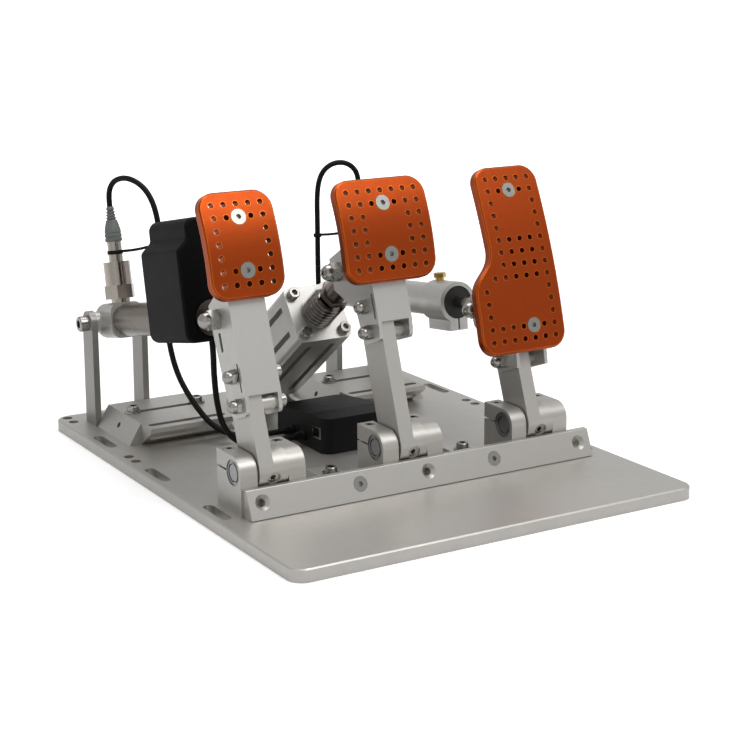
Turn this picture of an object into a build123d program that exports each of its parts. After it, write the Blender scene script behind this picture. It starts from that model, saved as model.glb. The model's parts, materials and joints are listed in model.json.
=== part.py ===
from build123d import *
from math import asin, atan2, cos, degrees, pi, radians, sin, sqrt, tan
import os

# A set of three racing pedals on one base plate, in millimetres.
# X runs to the driver's right, Y away from the driver, Z up. The origin is the plate's centre, underside.

# Clearances and shared small values
overrun = 1.0
seat_gap = 0.02
thread_clearance = 0.1
running_clearance = 0.02
edge_break = 0.8

# Base plate
plate_width = 350.0
plate_depth = 450.0
plate_thickness = 10.0
plate_corner = 12.0
plate_edge = 1.0
plate_hole_inset = 9.5
plate_slot_width = 8.6
plate_slot_length = 38.0
plate_slot_pitch = 108.0
plate_slot_centre_y = 21.8
plate_slots_per_side = 3
plate_pair_pitch = 14.5
plate_pair_ys = (209.3, 71.8)
plate_hole_radius = 4.25

# Front rail
rail_centre_x = 1.0
rail_length = 310.0
rail_height = 21.4
rail_top_depth = 5.3
rail_foot_depth = 14.2
rail_slit = 0.6
rail_slit_depth = 6.0
rail_screw_offset = 61.0
rail_open_offset = 143.5
rail_screw_height_share = 0.56
rail_bracket_width = 22.0
rail_bracket_length = 56.0
rail_bracket_height = 8.0
rail_bracket_slot = 20.0

# Screws: nominal size, then head
m6 = 6.0
m5 = 5.0
flat_head_radius = 6.0
flat_head_gap = 0.45
set_screw_radius = 4.0
set_screw_flat_radius = 5.4
set_screw_sink = 1.6
flat_head_angle = 90.0
quarter_turn = 90.0
socket_depth_share = 0.6
socket_radius_share = 0.42
hexagon_share = 0.58
head_radius_share = 0.83
washer_thickness = 1.6
washer_radius = 7.0
nut_radius = 5.8
nut_height = 5.0
dome_radius = 4.9
underside_screw_length = 18.0

# Pedal pivots, shared by the three pedals
pivot_y = -93.5
pivot_z = 40.8
axle_radius = 7.0
axle_recess = 0.6
bearing_radius = 10.5
boss_radius = 15.0
boss_half_width = 12.0
ear_inner = 13.0
ear_width = 14.0
ear_radius = 13.0
ear_rear = 26.0
foot_base_height = 12.0
pinch_slit = 1.5
pinch_screw_back = 19.0
bearing_depth = 12.0
washer_play = 0.06

# Pedal arms
arm_thickness = 12.0
arm_half_depth = 15.0
arm_corner = 6.0

# Each pedal: place across the plate, lean, arm, bolts, bracket and the point where its cylinder pushes
clutch_x = -128.7
brake_x = -7.4
throttle_x = 112.3
clutch_lean = 19.6
brake_lean = 18.5
throttle_lean = 20.0
clutch_bolts = ((47.0, 9.0), (69.0, 9.0))
brake_bolts = ((88.0, 3.0), (108.0, 3.0))
throttle_bolts = ((50.5, -1.5), (72.0, -1.5))
clutch_push = (114.0, -4.5)
brake_push = (141.0, -30.3)
throttle_push = (97.0, -20.5)
clutch_push_slot = (96.5, -5.8)
push_slot_length = 15.0
push_slot_width = 4.0
arm_top_beyond_bolt = 12.0

# Pads
pad_thickness = 7.5
pad_chamfer = 1.3
pad_corner = 14.0
hole_pitch = 10.0
pad_hole_radius = 2.2
clutch_pad_size = (60.0, 80.0)
brake_pad_size = (80.0, 80.0)
throttle_pad_size = (80.0, 150.0)
throttle_pad_top_width = 60.0
clutch_pad_radius = 162.0
brake_pad_radius = 171.0
throttle_pad_radius = 562.0
clutch_pad_centre = (163.4, 31.3)
brake_pad_centre = (163.5, 30.7)
throttle_pad_centre = (128.5, 33.2)

# Pad brackets
bracket_wall = 3.0
bracket_web = 2.5
bracket_corner = 5.0
bracket_lobe = 12.0
bracket_flange = 8.0
bracket_neck_share = 1.9
relief_width = 2.0
pad_gap = 0.3
pad_screw_length = 14.5
spacer_radius = 6.0
push_bolt_radius = 4.0

# Rear bridges and posts
bridge_front_y = 107.0
bridge_tongue_y = 86.0
bridge_tongue_edge = 4.0
bridge_rear_y = 177.5
bridge_height = 18.0
bridge_width = 98.0
bridge_side_lean = 11.0
bridge_from_pedal = 24.4
bridge_slot_width = 6.6
bridge_slot_length = 70.0
bridge_slot_ys = (97.5, 142.5)
slot_screw_share = 0.94
end_screw_radius = 2.6
end_screw_depth = 7.0
post_thickness = 5.5
post_depth_behind = 13.0
post_gap = 0.8
post_half_gap = 20.0
post_screw_inset = 19.2
post_foot_width = 24.0
post_foot_height = 5.0
rear_pivot_y = 187.0
rear_pivot_z = 100.0
rear_bolt_radius = 4.0
post_top_radius = 10.5

# Clutch and throttle cylinders
tube_radius = 14.0
tube_wall = 2.0
eye_radius = 15.0
eye_half_width = 15.0
side_washer = 4.9
cap_length = 30.0
clutch_tube_end = 202.0
cover_start = 127.0
cover_end = 200.0
cover_half_width = 22.5
cover_lobe_half_width = 13.5
cover_bottom = 18.0
cover_shoulder = 54.0
cover_top = 78.0
cover_wall = 2.0
cover_corner = 8.0
cover_edge = 2.5
cover_play = 0.3
rod_radius = 5.0
rod_play = 0.05
rod_head_radius = 11.0
rod_eye_width = 20.0
rod_head_length = 16.0
gland_length = 10.0
rod_inner_end = 110.0
push_eye_play = 1.2

# Throttle cylinder
throttle_tube_end = 165.0
clamp_end = 175.0
clamp_radius = 17.5
clamp_length = 34.0
clamp_flange = 24.0
knob_radius = 5.5
knob_height = 7.0

# Pressure sensors, counted up from the cylinder's axis
sensor_from_pivot = 19.0
seal_radius = 8.0
seal_top = 18.5
sensor_nut_radius = 13.4
sensor_nut_height = 11.5
sensor_body_radius = 11.3
sensor_body_height = 20.0
sensor_neck_radius = 6.0
sensor_neck_height = 17.0
connector_radius = 7.6
connector_tip_radius = 4.0
connector_height = 30.0

# Brake cylinder, counted back from the push eye along its axis
brake_rear_y = 163.5
brake_rear_z = 30.5
brake_body_half = 25.0
brake_body_corner = 5.0
brake_body_start = 90.0
brake_body_end = 186.0
brake_cap_length = 12.0
brake_slot_width = 5.2
brake_slot_depth = 6.0
brake_slot_offset = 11.0
brake_bore_radius = 16.0
brake_rod_radius = 6.0
stack_start = 48.0
stack_radius = 14.5
stack_bore_play = 0.6
stack_discs = 10
coupling_start = 19.0
coupling_end = 45.0
coupling_radius = 9.5
collar_radius = 12.0
collar_height = 5.0
brake_eye_radius = 12.0
brake_eye_width = 14.0
cap_bolt_offset = 18.0
brake_clevis_half = 20.0
brake_clevis_wall = 6.0
brake_tongue = 12.0

# Control box
box_left_x = -28.0
box_right_x = 38.0
box_front_y = -4.0
box_rear_y = 86.0
box_base_height = 15.0
box_front_height = 30.0
box_rear_height = 22.5
box_wall = 2.2
box_corner = 9.0
socket_y = 9.0
socket_height = 17.0
socket_width = 12.0
socket_tall = 10.0
socket_depth = 9.0
socket_proud = 1.2
socket_wall = 1.2

# Cables: the points of each route, chosen by hand
cable_radius = 2.4
clutch_cable_route = (
    (-128.7, 187.025, 198.85), (-128.7, 188.75, 207.67), (-127.8, 186.3, 216.3), (-125.5, 179.6, 222.7),
    (-120.7, 165.7, 225.8), (-115.0, 149.3, 221.1), (-111.3, 138.8, 211.1), (-109.4, 133.2, 198.4),
    (-108.3, 130.3, 180.7), (-108.3, 127.8, 155.0), (-109.0, 124.0, 128.0), (-109.5, 121.0, 103.0),
    (-106.0, 115.0, 68.0), (-100.0, 97.0, 44.0), (-89.0, 77.0, 22.5), (-70.0, 62.0, 15.5),
    (-49.0, 52.0, 18.5), (-28.0, 52.0, 18.5))
cover_cable_route = (
    (-122.0, 6.0, 117.15), (-122.0, 4.08, 107.34), (-121.0, 6.5, 90.0), (-116.0, 14.0, 66.0),
    (-107.0, 24.0, 42.0), (-93.0, 32.0, 24.0), (-72.0, 35.0, 15.5), (-50.0, 32.0, 18.5),
    (-28.0, 32.0, 18.5))
throttle_cable_route = (
    (112.3, 178.665, 198.5), (112.3, 179.64, 207.44), (108.2, 180.4, 215.4), (100.3, 181.9, 220.6),
    (90.0, 183.9, 221.0), (80.9, 185.6, 216.1), (75.2, 186.7, 206.8), (73.0, 187.1, 191.0),
    (73.0, 186.8, 166.0), (72.6, 186.5, 127.0), (72.5, 185.5, 87.0), (70.0, 187.5, 53.0),
    (62.0, 190.0, 28.0), (44.0, 188.0, 15.0), (27.0, 171.0, 13.6), (19.0, 143.0, 14.6),
    (16.0, 113.0, 18.5), (16.0, 86.0, 18.5))
cable_run_share = 0.45

os.makedirs("parts", exist_ok=True)
plate_top = plate_thickness


def finish(node, name):
    """Label one finished piece and write it."""
    node.part.label = name
    export_step(node.part, "parts/" + name + ".step")


def group(piece, places):
    """The same piece set at each of a list of places, as separate solids."""
    with BuildPart() as copies:
        with Locations(*places):
            add(piece)
    return copies


def facing(x, y, z, lean):
    """A plane that faces the driver and leans back by an angle: its x is across, its y up the arm."""
    turn = radians(lean)
    return Plane(origin=(x, y, z), x_dir=(1, 0, 0), z_dir=(0, -cos(turn), sin(turn)))


def side(x, y, z, lean):
    """A plane seen from the right: its x runs up the arm, its y towards the driver."""
    turn = radians(lean)
    return Plane(origin=(x, y, z), x_dir=(0, sin(turn), cos(turn)), z_dir=(1, 0, 0))


def arm_point(x, lean, along, out):
    """A point on a pedal: so far up its arm from the pivot, so far out towards the driver."""
    turn = radians(lean)
    y = pivot_y + along * sin(turn) - out * cos(turn)
    z = pivot_z + along * cos(turn) + out * sin(turn)
    return (x, y, z)


def cylinder_plane(x, rear, front, along):
    """A plane across a cylinder, so far from its rear pivot: x is across, y up, z towards the pedal."""
    length = sqrt((front[0] - rear[0]) ** 2 + (front[1] - rear[1]) ** 2)
    step_y = (front[0] - rear[0]) / length
    step_z = (front[1] - rear[1]) / length
    origin = (x, rear[0] + along * step_y, rear[1] + along * step_z)
    return Plane(origin=origin, x_dir=(1, 0, 0), z_dir=(0, step_y, step_z))


def cylinder_side(x, rear, front, along):
    """A plane along a cylinder, seen from the left: x runs towards the pedal, y up."""
    across = cylinder_plane(x, rear, front, along)
    return Plane(origin=across.origin, x_dir=across.z_dir, z_dir=(-1, 0, 0))


def upright(base, x, up, along):
    """A plane that stands on a cylinder at a height above its axis and looks up and away from it."""
    origin = base.origin + base.y_dir * up + base.z_dir * along + base.x_dir * x
    return Plane(origin=origin, x_dir=(1, 0, 0), z_dir=base.y_dir)


def at_x(x, y, z):
    """A plane square to X whose normal points right."""
    return Plane(origin=(x, y, z), x_dir=(0, 1, 0), z_dir=(1, 0, 0))


# Fasteners. Each stands on its local origin with its shank down its local z.

def socket_screw(size, length):
    """A cap screw: round head above the origin with a hexagon socket, shank below."""
    head = size * head_radius_share
    with BuildPart() as screw:
        with BuildSketch():
            Circle(head)
        extrude(amount=size)
        chamfer(screw.edges().group_by(Axis.Z)[-1], size * 0.1)
        with BuildSketch(Plane.XY.offset(size)):
            RegularPolygon(size * socket_radius_share * 1.15, 6)
        extrude(amount=-size * socket_depth_share, mode=Mode.SUBTRACT)
        with BuildSketch():
            Circle(size / 2)
        extrude(amount=-length)
    return screw.part


def flat_screw(size, length):
    """A countersunk screw whose flat head lies at the origin."""
    depth = (flat_head_radius * size / m6 - size / 2) / tan(radians(flat_head_angle / 2))
    with BuildPart() as screw:
        with BuildSketch(Plane.XZ):
            with BuildLine():
                Polyline(
                    (0, 0), (flat_head_radius * size / m6, 0), (size / 2, -depth),
                    (size / 2, -length), (0, -length), close=True)
            make_face()
        revolve(axis=Axis.Z)
        with BuildSketch():
            RegularPolygon(size * 0.32 * 1.15, 6)
        extrude(amount=-size * socket_depth_share * 0.7, mode=Mode.SUBTRACT)
    return screw.part


def dome_nut(size):
    """A hexagon nut with a round cap, standing on its origin, bored to take a screw."""
    height = nut_height * size / m6
    dome = dome_radius * size / m6
    with BuildPart() as nut:
        with BuildSketch():
            RegularPolygon(nut_radius * size / m6, 6)
        extrude(amount=height)
        with BuildSketch(Plane.XZ):
            with BuildLine():
                Line((0, height), (dome, height))
                Line((dome, height), (dome, height + edge_break))
                JernArc(start=(dome, height + edge_break), tangent=(0, 1), radius=dome, arc_size=quarter_turn)
                Line((0, height + edge_break + dome), (0, height))
            make_face()
        revolve(axis=Axis.Z)
        with BuildSketch():
            Circle(size / 2 + thread_clearance)
        extrude(amount=height, mode=Mode.SUBTRACT)
    return nut.part


def washer(inner, outer, height):
    """A flat ring standing on its origin."""
    with BuildPart() as ring:
        with BuildSketch():
            Circle(outer)
            Circle(inner, mode=Mode.SUBTRACT)
        extrude(amount=height)
    return ring.part


# Places that more than one piece follows

pedal_xs = (clutch_x, brake_x, throttle_x)
foot_front_y = pivot_y - ear_radius
foot_rear_y = pivot_y + ear_rear
ear_outer = ear_inner + ear_width
rail_rear_y = foot_front_y
rail_front_y = rail_rear_y - rail_foot_depth
rail_lean = degrees(atan2(rail_foot_depth - rail_top_depth, rail_height))
rail_screw_z = plate_top + rail_height * rail_screw_height_share
rail_screw_y = rail_front_y + (rail_screw_z - plate_top) * tan(radians(rail_lean))
rail_screw_xs = (rail_centre_x - rail_screw_offset, rail_centre_x + rail_screw_offset)
rail_hole_xs = rail_screw_xs + (
    rail_centre_x - rail_open_offset, rail_centre_x, rail_centre_x + rail_open_offset)
slot_ys = [
    plate_slot_centre_y + (index - (plate_slots_per_side - 1) / 2) * plate_slot_pitch
    for index in range(plate_slots_per_side)]
slot_x = plate_width / 2 - plate_hole_inset
rear_pivot = (rear_pivot_y, rear_pivot_z)
brake_rear = (brake_rear_y, brake_rear_z)
clutch_front = arm_point(clutch_x, clutch_lean, *clutch_push)[1:]
brake_front = arm_point(brake_x, brake_lean, *brake_push)[1:]
throttle_front = arm_point(throttle_x, throttle_lean, *throttle_push)[1:]
bridge_centre_clutch = clutch_x - bridge_from_pedal + bridge_width / 2
bridge_centre_throttle = throttle_x + bridge_from_pedal - bridge_width / 2
bridge_centres = (bridge_centre_clutch, bridge_centre_throttle)
bridge_top = plate_top + bridge_height
foot_screw_places = [
    (x + sign * (ear_inner + ear_width / 2), y)
    for x in pedal_xs for sign in (-1, 1) for y in (foot_front_y + m6 * 1.3, foot_rear_y - m6 * 1.3)]
bridge_screw_places = [
    (x + sign * bridge_width * 0.38, y)
    for x in bridge_centres for sign in (-1, 1) for y in (bridge_front_y + m6 * 2, bridge_rear_y - m6 * 2)]
clevis_screw_places = [(brake_x + sign * brake_clevis_half * 0.45, brake_rear_y) for sign in (-1, 1)]
underside_places = foot_screw_places + bridge_screw_places + clevis_screw_places
bracket_screw_y = rail_rear_y + rail_bracket_length - rail_bracket_slot
post_sides = []
for x in (clutch_x, throttle_x):
    inner_way = 1 if x == clutch_x else -1
    post_sides.append((x - post_half_gap - post_thickness, 1))
    post_sides.append((x + post_half_gap, inner_way))
post_rear_y = rear_pivot_y + post_depth_behind
post_front_y = bridge_rear_y + post_gap
post_screw_y = (post_front_y + post_rear_y) / 2
post_screw_places = [
    (left + (post_screw_inset if way > 0 else post_thickness - post_screw_inset), post_screw_y)
    for left, way in post_sides]
slot_screw_places = [
    (x + sign * (bridge_slot_length - bridge_slot_width) / 2 * slot_screw_share, bridge_slot_ys[1])
    for x in bridge_centres for sign in (-1, 1)]

# Base plate: two rows of slots and hole pairs along its sides, and the holes for its own screws

with BuildPart() as base_plate:
    with BuildSketch():
        RectangleRounded(plate_width, plate_depth, plate_corner)
    extrude(amount=plate_thickness)
    chamfer(base_plate.edges().group_by(Axis.Z)[-1], plate_edge)
    with BuildSketch(Plane.XY.offset(plate_top)):
        with Locations(*[(sign * slot_x, y) for sign in (-1, 1) for y in slot_ys]):
            SlotOverall(plate_slot_length, plate_slot_width, rotation=90)
        with Locations(*[
                (sign * slot_x, y + step * plate_pair_pitch / 2)
                for sign in (-1, 1) for y in plate_pair_ys for step in (-1, 1)]):
            Circle(plate_hole_radius)
        with Locations(*[(x, bracket_screw_y) for x in rail_screw_xs] + post_screw_places + slot_screw_places):
            Circle(m6 / 2 + thread_clearance)
    extrude(amount=-plate_thickness, mode=Mode.SUBTRACT)
    with Locations(*[Plane(origin=(x, y, 0), z_dir=(0, 0, -1)) for x, y in underside_places]):
        CounterSinkHole(
            m6 / 2 + thread_clearance, flat_head_radius + thread_clearance, depth=plate_thickness + overrun,
            counter_sink_angle=flat_head_angle)
finish(base_plate, "base_plate")

underside_screw = flat_screw(m6, underside_screw_length)
rail_screw_planes = [facing(x, rail_screw_y, rail_screw_z, rail_lean) for x in rail_screw_xs]
flat_screw_places = [Plane(origin=(x, y, 0), z_dir=(0, 0, -1)) for x, y in underside_places]
flat_screw_places += rail_screw_planes
flat_screws = group(underside_screw, flat_screw_places)
finish(flat_screws, "flat_screws")

# Front rail: a bar with a leaning face, a thin slit at its foot and five countersunk holes

with BuildPart() as front_rail:
    with BuildSketch(at_x(rail_centre_x - rail_length / 2, 0, 0)):
        with BuildLine():
            Polyline(
                (rail_front_y, plate_top), (rail_rear_y, plate_top), (rail_rear_y, plate_top + rail_height),
                (rail_rear_y - rail_top_depth, plate_top + rail_height), close=True)
        make_face()
    extrude(amount=rail_length)
    fillet(front_rail.edges().filter_by(Axis.X).group_by(Axis.Z)[-1], edge_break)
    with BuildSketch(at_x(rail_centre_x - rail_length / 2 - overrun, rail_front_y, plate_top)):
        Rectangle(rail_slit_depth, rail_slit, align=(Align.CENTER, Align.MIN))
    extrude(amount=rail_length + 2 * overrun, mode=Mode.SUBTRACT)
    with Locations(*[facing(x, rail_screw_y, rail_screw_z, rail_lean) for x in rail_hole_xs]):
        CounterSinkHole(
            m6 / 2 + thread_clearance, flat_head_radius + thread_clearance, depth=rail_foot_depth * 2,
            counter_sink_angle=flat_head_angle)
finish(front_rail, "front_rail")


# Slotted tongues behind the rail, each tapped for a rail screw and held down by a cap screw

with BuildPart() as rail_brackets:
    for x in rail_screw_xs:
        with BuildSketch(at_x(x - rail_bracket_width / 2, 0, 0)):
            with BuildLine():
                Polyline(
                    (rail_rear_y, plate_top), (rail_rear_y + rail_bracket_length, plate_top),
                    (rail_rear_y + rail_bracket_length, plate_top + rail_bracket_height),
                    (rail_rear_y + rail_bracket_height * 1.5, plate_top + rail_bracket_height),
                    (rail_rear_y, plate_top + rail_height * 0.8), close=True)
            make_face()
        extrude(amount=rail_bracket_width)
    with BuildSketch(Plane.XY.offset(plate_top)):
        with Locations(*[(x, bracket_screw_y) for x in rail_screw_xs]):
            SlotOverall(rail_bracket_slot, bridge_slot_width, rotation=90)
    extrude(amount=rail_height, mode=Mode.SUBTRACT)
    with Locations(*[facing(x, rail_screw_y, rail_screw_z, rail_lean) for x in rail_screw_xs]):
        Hole(m6 / 2 + thread_clearance, depth=rail_foot_depth * 2)
finish(rail_brackets, "rail_brackets")

# Pedal feet: a base with two ears that pinch the bearings, the same under each pedal

with BuildPart() as pedal_feet:
    for x in pedal_xs:
        for sign in (-1, 1):
            ear_left = x + sign * (ear_inner + ear_width / 2) - ear_width / 2
            with BuildSketch(at_x(ear_left, 0, 0)) as ear_face:
                with Locations((foot_front_y, plate_top)):
                    Rectangle(
                        foot_rear_y - foot_front_y, pivot_z + ear_radius - plate_top,
                        align=(Align.MIN, Align.MIN))
                fillet(ear_face.vertices().group_by(Axis.Y)[-1].sort_by(Axis.X)[0], ear_radius * 0.98)
                with Locations((pivot_y, pivot_z)):
                    Circle(bearing_radius + seat_gap, mode=Mode.SUBTRACT)
                with Locations((pivot_y, pivot_z)):
                    Rectangle(
                        ear_rear + overrun, pinch_slit, align=(Align.MIN, Align.CENTER), mode=Mode.SUBTRACT)
            extrude(amount=ear_width)
        with BuildSketch(Plane.XY.offset(plate_top)):
            with Locations((x, (foot_front_y + foot_rear_y) / 2)):
                Rectangle(2 * ear_inner, foot_rear_y - foot_front_y)
        extrude(amount=foot_base_height)
    ear_tops = [
        Plane(origin=(
            x + sign * (ear_inner + ear_width / 2), pivot_y + pinch_screw_back, pivot_z + ear_radius))
        for x in pedal_xs for sign in (-1, 1)]
    with Locations(*ear_tops):
        CounterBoreHole(
            m5 / 2 + thread_clearance, m5 * head_radius_share + thread_clearance, m5, depth=ear_radius * 2)
    with Locations(*[Plane(origin=(x, y, plate_top), z_dir=(0, 0, -1)) for x, y in foot_screw_places]):
        Hole(m6 / 2 + thread_clearance, depth=underside_screw_length - plate_thickness + overrun)
finish(pedal_feet, "pedal_feet")

pinch_screw = socket_screw(m5, ear_radius * 1.4)
pinch_screws = group(pinch_screw, [place.offset(-m5) for place in ear_tops])
finish(pinch_screws, "pinch_screws")

with BuildPart() as bearing:
    with BuildSketch():
        Circle(bearing_radius)
        Circle(axle_radius, mode=Mode.SUBTRACT)
    extrude(amount=bearing_depth)
    with BuildSketch(Plane.XY.offset(bearing_depth)):
        Circle(bearing_radius - edge_break)
        Circle(axle_radius + edge_break, mode=Mode.SUBTRACT)
    extrude(amount=-edge_break, mode=Mode.SUBTRACT)
bearing_inner = ear_outer - bearing_depth
bearing_places = [Plane(origin=(x + bearing_inner, pivot_y, pivot_z), z_dir=(1, 0, 0)) for x in pedal_xs]
bearing_places += [Plane(origin=(x - bearing_inner, pivot_y, pivot_z), z_dir=(-1, 0, 0)) for x in pedal_xs]
pivot_bearings = group(bearing.part, bearing_places)
finish(pivot_bearings, "pivot_bearings")

thrust_washer_height = ear_inner - boss_half_width - washer_play
thrust_washer = washer(axle_radius + thread_clearance, bearing_radius - overrun, thrust_washer_height)
thrust_places = [Plane(origin=(x + ear_inner, pivot_y, pivot_z), z_dir=(-1, 0, 0)) for x in pedal_xs]
thrust_places += [Plane(origin=(x - ear_inner, pivot_y, pivot_z), z_dir=(1, 0, 0)) for x in pedal_xs]
thrust_washers = group(thrust_washer, thrust_places)
finish(thrust_washers, "thrust_washers")

# Rear bridges: low blocks with slanted sides, a nosed front edge and two slots across

with BuildPart() as rear_bridges:
    for x in bridge_centres:
        with BuildSketch(Plane.XZ.offset(-bridge_rear_y)):
            with BuildLine():
                Polyline(
                    (x - bridge_width / 2, plate_top), (x + bridge_width / 2, plate_top),
                    (x + bridge_width / 2 - bridge_side_lean, bridge_top),
                    (x - bridge_width / 2 + bridge_side_lean, bridge_top), close=True)
            make_face()
        extrude(amount=bridge_rear_y - bridge_front_y)
        with BuildSketch(at_x(x - bridge_width / 2 + bridge_side_lean, 0, 0)):
            with BuildLine():
                Polyline(
                    (bridge_front_y, plate_top), (bridge_front_y, bridge_top), (bridge_tongue_y, bridge_top),
                    (bridge_tongue_y, bridge_top - bridge_tongue_edge), close=True)
            make_face()
        extrude(amount=bridge_width - 2 * bridge_side_lean)
    with BuildSketch(Plane.XY.offset(bridge_top)):
        with Locations(*[(x, y) for x in bridge_centres for y in bridge_slot_ys]):
            SlotOverall(bridge_slot_length, bridge_slot_width)
    extrude(amount=-bridge_height, mode=Mode.SUBTRACT)
    with Locations(*[Plane(origin=(x, y, plate_top), z_dir=(0, 0, -1)) for x, y in bridge_screw_places]):
        Hole(m6 / 2 + thread_clearance, depth=underside_screw_length - plate_thickness + overrun)
    with Locations(*[
            Plane(
                origin=(
                    x + sign * (bridge_width - bridge_side_lean) / 2, (bridge_front_y + bridge_rear_y) / 2,
                    plate_top + bridge_height / 2),
                x_dir=(0, 1, 0), z_dir=(sign * bridge_height, 0, bridge_side_lean))
            for x in bridge_centres for sign in (-1, 1)]):
        Hole(end_screw_radius, depth=end_screw_depth)
finish(rear_bridges, "rear_bridges")

# Posts: pairs of L brackets that stand on the plate behind the bridges and carry the rear pivots

with BuildPart() as rear_posts:
    for left, way in post_sides:
        with BuildSketch(at_x(left, 0, 0)):
            with BuildLine():
                Polyline(
                    (post_front_y, plate_top), (post_rear_y, plate_top),
                    (rear_pivot_y + post_top_radius, rear_pivot_z),
                    (rear_pivot_y - post_top_radius, rear_pivot_z), close=True)
            make_face()
            with Locations((rear_pivot_y, rear_pivot_z)):
                Circle(post_top_radius)
                Circle(rear_bolt_radius + thread_clearance, mode=Mode.SUBTRACT)
        extrude(amount=post_thickness)
        foot_left = left if way > 0 else left + post_thickness - post_foot_width
        with BuildSketch(Plane.XY.offset(plate_top)):
            with Locations((foot_left, post_front_y)):
                Rectangle(post_foot_width, post_rear_y - post_front_y, align=(Align.MIN, Align.MIN))
        extrude(amount=post_foot_height)
    with BuildSketch(Plane.XY.offset(plate_top)):
        with Locations(*post_screw_places):
            Circle(m6 / 2 + thread_clearance)
    extrude(amount=post_foot_height, mode=Mode.SUBTRACT)
finish(rear_posts, "rear_posts")

# Cap screws with washers that hold the posts, the rail's tongues and, through their slots, the bridges

with BuildPart() as washered_screw:
    add(socket_screw(m6, bridge_height * 0.8), mode=Mode.ADD)
    add(washer(m6 / 2 - thread_clearance, washer_radius, washer_thickness))
with BuildPart() as slot_screw:
    add(socket_screw(m6, bridge_height + plate_thickness * 0.8), mode=Mode.ADD)
    add(washer(m6 / 2 - thread_clearance, washer_radius, washer_thickness))
plate_screw_places = [Plane(origin=(x, y, plate_top + post_foot_height)) for x, y in post_screw_places]
plate_screw_places += [
    Plane(origin=(x, bracket_screw_y, plate_top + rail_bracket_height)) for x in rail_screw_xs]
with BuildPart() as plate_screws:
    with Locations(*plate_screw_places):
        add(washered_screw.part)
    with Locations(*[Plane(origin=(x, y, bridge_top)) for x, y in slot_screw_places]):
        add(slot_screw.part)
finish(plate_screws, "plate_screws")

# Brake clevis on the plate, with the pin that the cylinder swings on

clevis_gap = brake_tongue / 2 + thread_clearance * 3
with BuildPart() as brake_rear_clevis:
    with BuildSketch(Plane.XY.offset(plate_top)):
        with Locations((brake_x, brake_rear_y)):
            RectangleRounded(2 * brake_clevis_half, 2 * brake_clevis_half, bracket_corner)
    extrude(amount=brake_clevis_wall)
    for sign in (-1, 1):
        ear_left = brake_x + sign * (clevis_gap + brake_clevis_wall / 2) - brake_clevis_wall / 2
        with BuildSketch(at_x(ear_left, 0, 0)):
            with Locations((brake_rear_y, plate_top)):
                Rectangle(2 * brake_eye_radius, brake_rear_z - plate_top, align=(Align.CENTER, Align.MIN))
            with Locations((brake_rear_y, brake_rear_z)):
                Circle(brake_eye_radius)
        extrude(amount=brake_clevis_wall)
    with BuildSketch(at_x(brake_x - brake_clevis_half, brake_rear_y, brake_rear_z)):
        Circle(rear_bolt_radius + thread_clearance)
    extrude(amount=2 * brake_clevis_half, mode=Mode.SUBTRACT)
    with Locations(*[Plane(origin=(x, y, plate_top), z_dir=(0, 0, -1)) for x, y in clevis_screw_places]):
        Hole(m6 / 2 + thread_clearance, depth=underside_screw_length - plate_thickness + overrun)
finish(brake_rear_clevis, "brake_rear_clevis")

rear_bolt_length = 2 * (post_half_gap + post_thickness)
rear_bolt = socket_screw(2 * rear_bolt_radius, rear_bolt_length)
pin_half = clevis_gap + brake_clevis_wall + overrun
with BuildPart() as rear_pivot_bolts:
    with Locations(*[
            Plane(origin=(x - rear_bolt_length / 2, rear_pivot_y, rear_pivot_z), z_dir=(-1, 0, 0))
            for x in (clutch_x, throttle_x)]):
        add(rear_bolt)
    with BuildSketch(at_x(brake_x - pin_half, brake_rear_y, brake_rear_z)):
        Circle(rear_bolt_radius)
    extrude(amount=2 * pin_half)
finish(rear_pivot_bolts, "rear_pivot_bolts")


# Pedals. Each has an arm on an axle, a pad bracket bolted to the arm, and a curved pad.

def pedal_arm(x, lean, bolts):
    """Arm with its boss: bored for the axle, the set screw and the bracket's bolts."""
    top = bolts[-1][0] + arm_top_beyond_bolt
    with BuildPart() as arm:
        with BuildSketch(side(x - boss_half_width, pivot_y, pivot_z, lean)):
            Circle(boss_radius)
        extrude(amount=2 * boss_half_width)
        with BuildSketch(side(x - boss_half_width, pivot_y, pivot_z, lean)) as bar_face:
            Rectangle(top, 2 * arm_half_depth, align=(Align.MIN, Align.CENTER))
            fillet(bar_face.vertices().group_by(Axis.X)[-1], arm_corner)
        extrude(amount=arm_thickness)
        with BuildSketch(side(x - boss_half_width - overrun, pivot_y, pivot_z, lean)):
            Circle(axle_radius)
            with Locations(*bolts):
                Circle(m6 / 2 + thread_clearance)
        extrude(amount=2 * boss_half_width + 2 * overrun, mode=Mode.SUBTRACT)
        with BuildSketch(facing(x, pivot_y, pivot_z, -lean)):
            Circle(set_screw_radius + thread_clearance)
        extrude(amount=boss_radius + overrun, mode=Mode.SUBTRACT)
        with BuildSketch(facing(x, pivot_y, pivot_z, -lean).offset(boss_radius - set_screw_sink)):
            Circle(set_screw_flat_radius)
        extrude(amount=set_screw_sink + overrun, mode=Mode.SUBTRACT)
    return arm


def web_front(pad_centre, pad_size, radius):
    """How far out the bracket's front face lies: just behind the ends of the curved pad."""
    sag = radius - sqrt(radius ** 2 - (pad_size[1] / 2) ** 2)
    return pad_centre[1] - pad_thickness - sag - pad_gap


def pad_screw_places(x, lean, pad_centre, radius, offsets):
    """Planes on the pad's curved face, square to it, at each height from the pad's centre."""
    middle = arm_point(x, lean, pad_centre[0], pad_centre[1] - radius)
    places = []
    for offset in offsets:
        turn = degrees(asin(offset / radius))
        face = facing(*middle, lean + turn)
        places.append(face.offset(radius))
    return places


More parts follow.
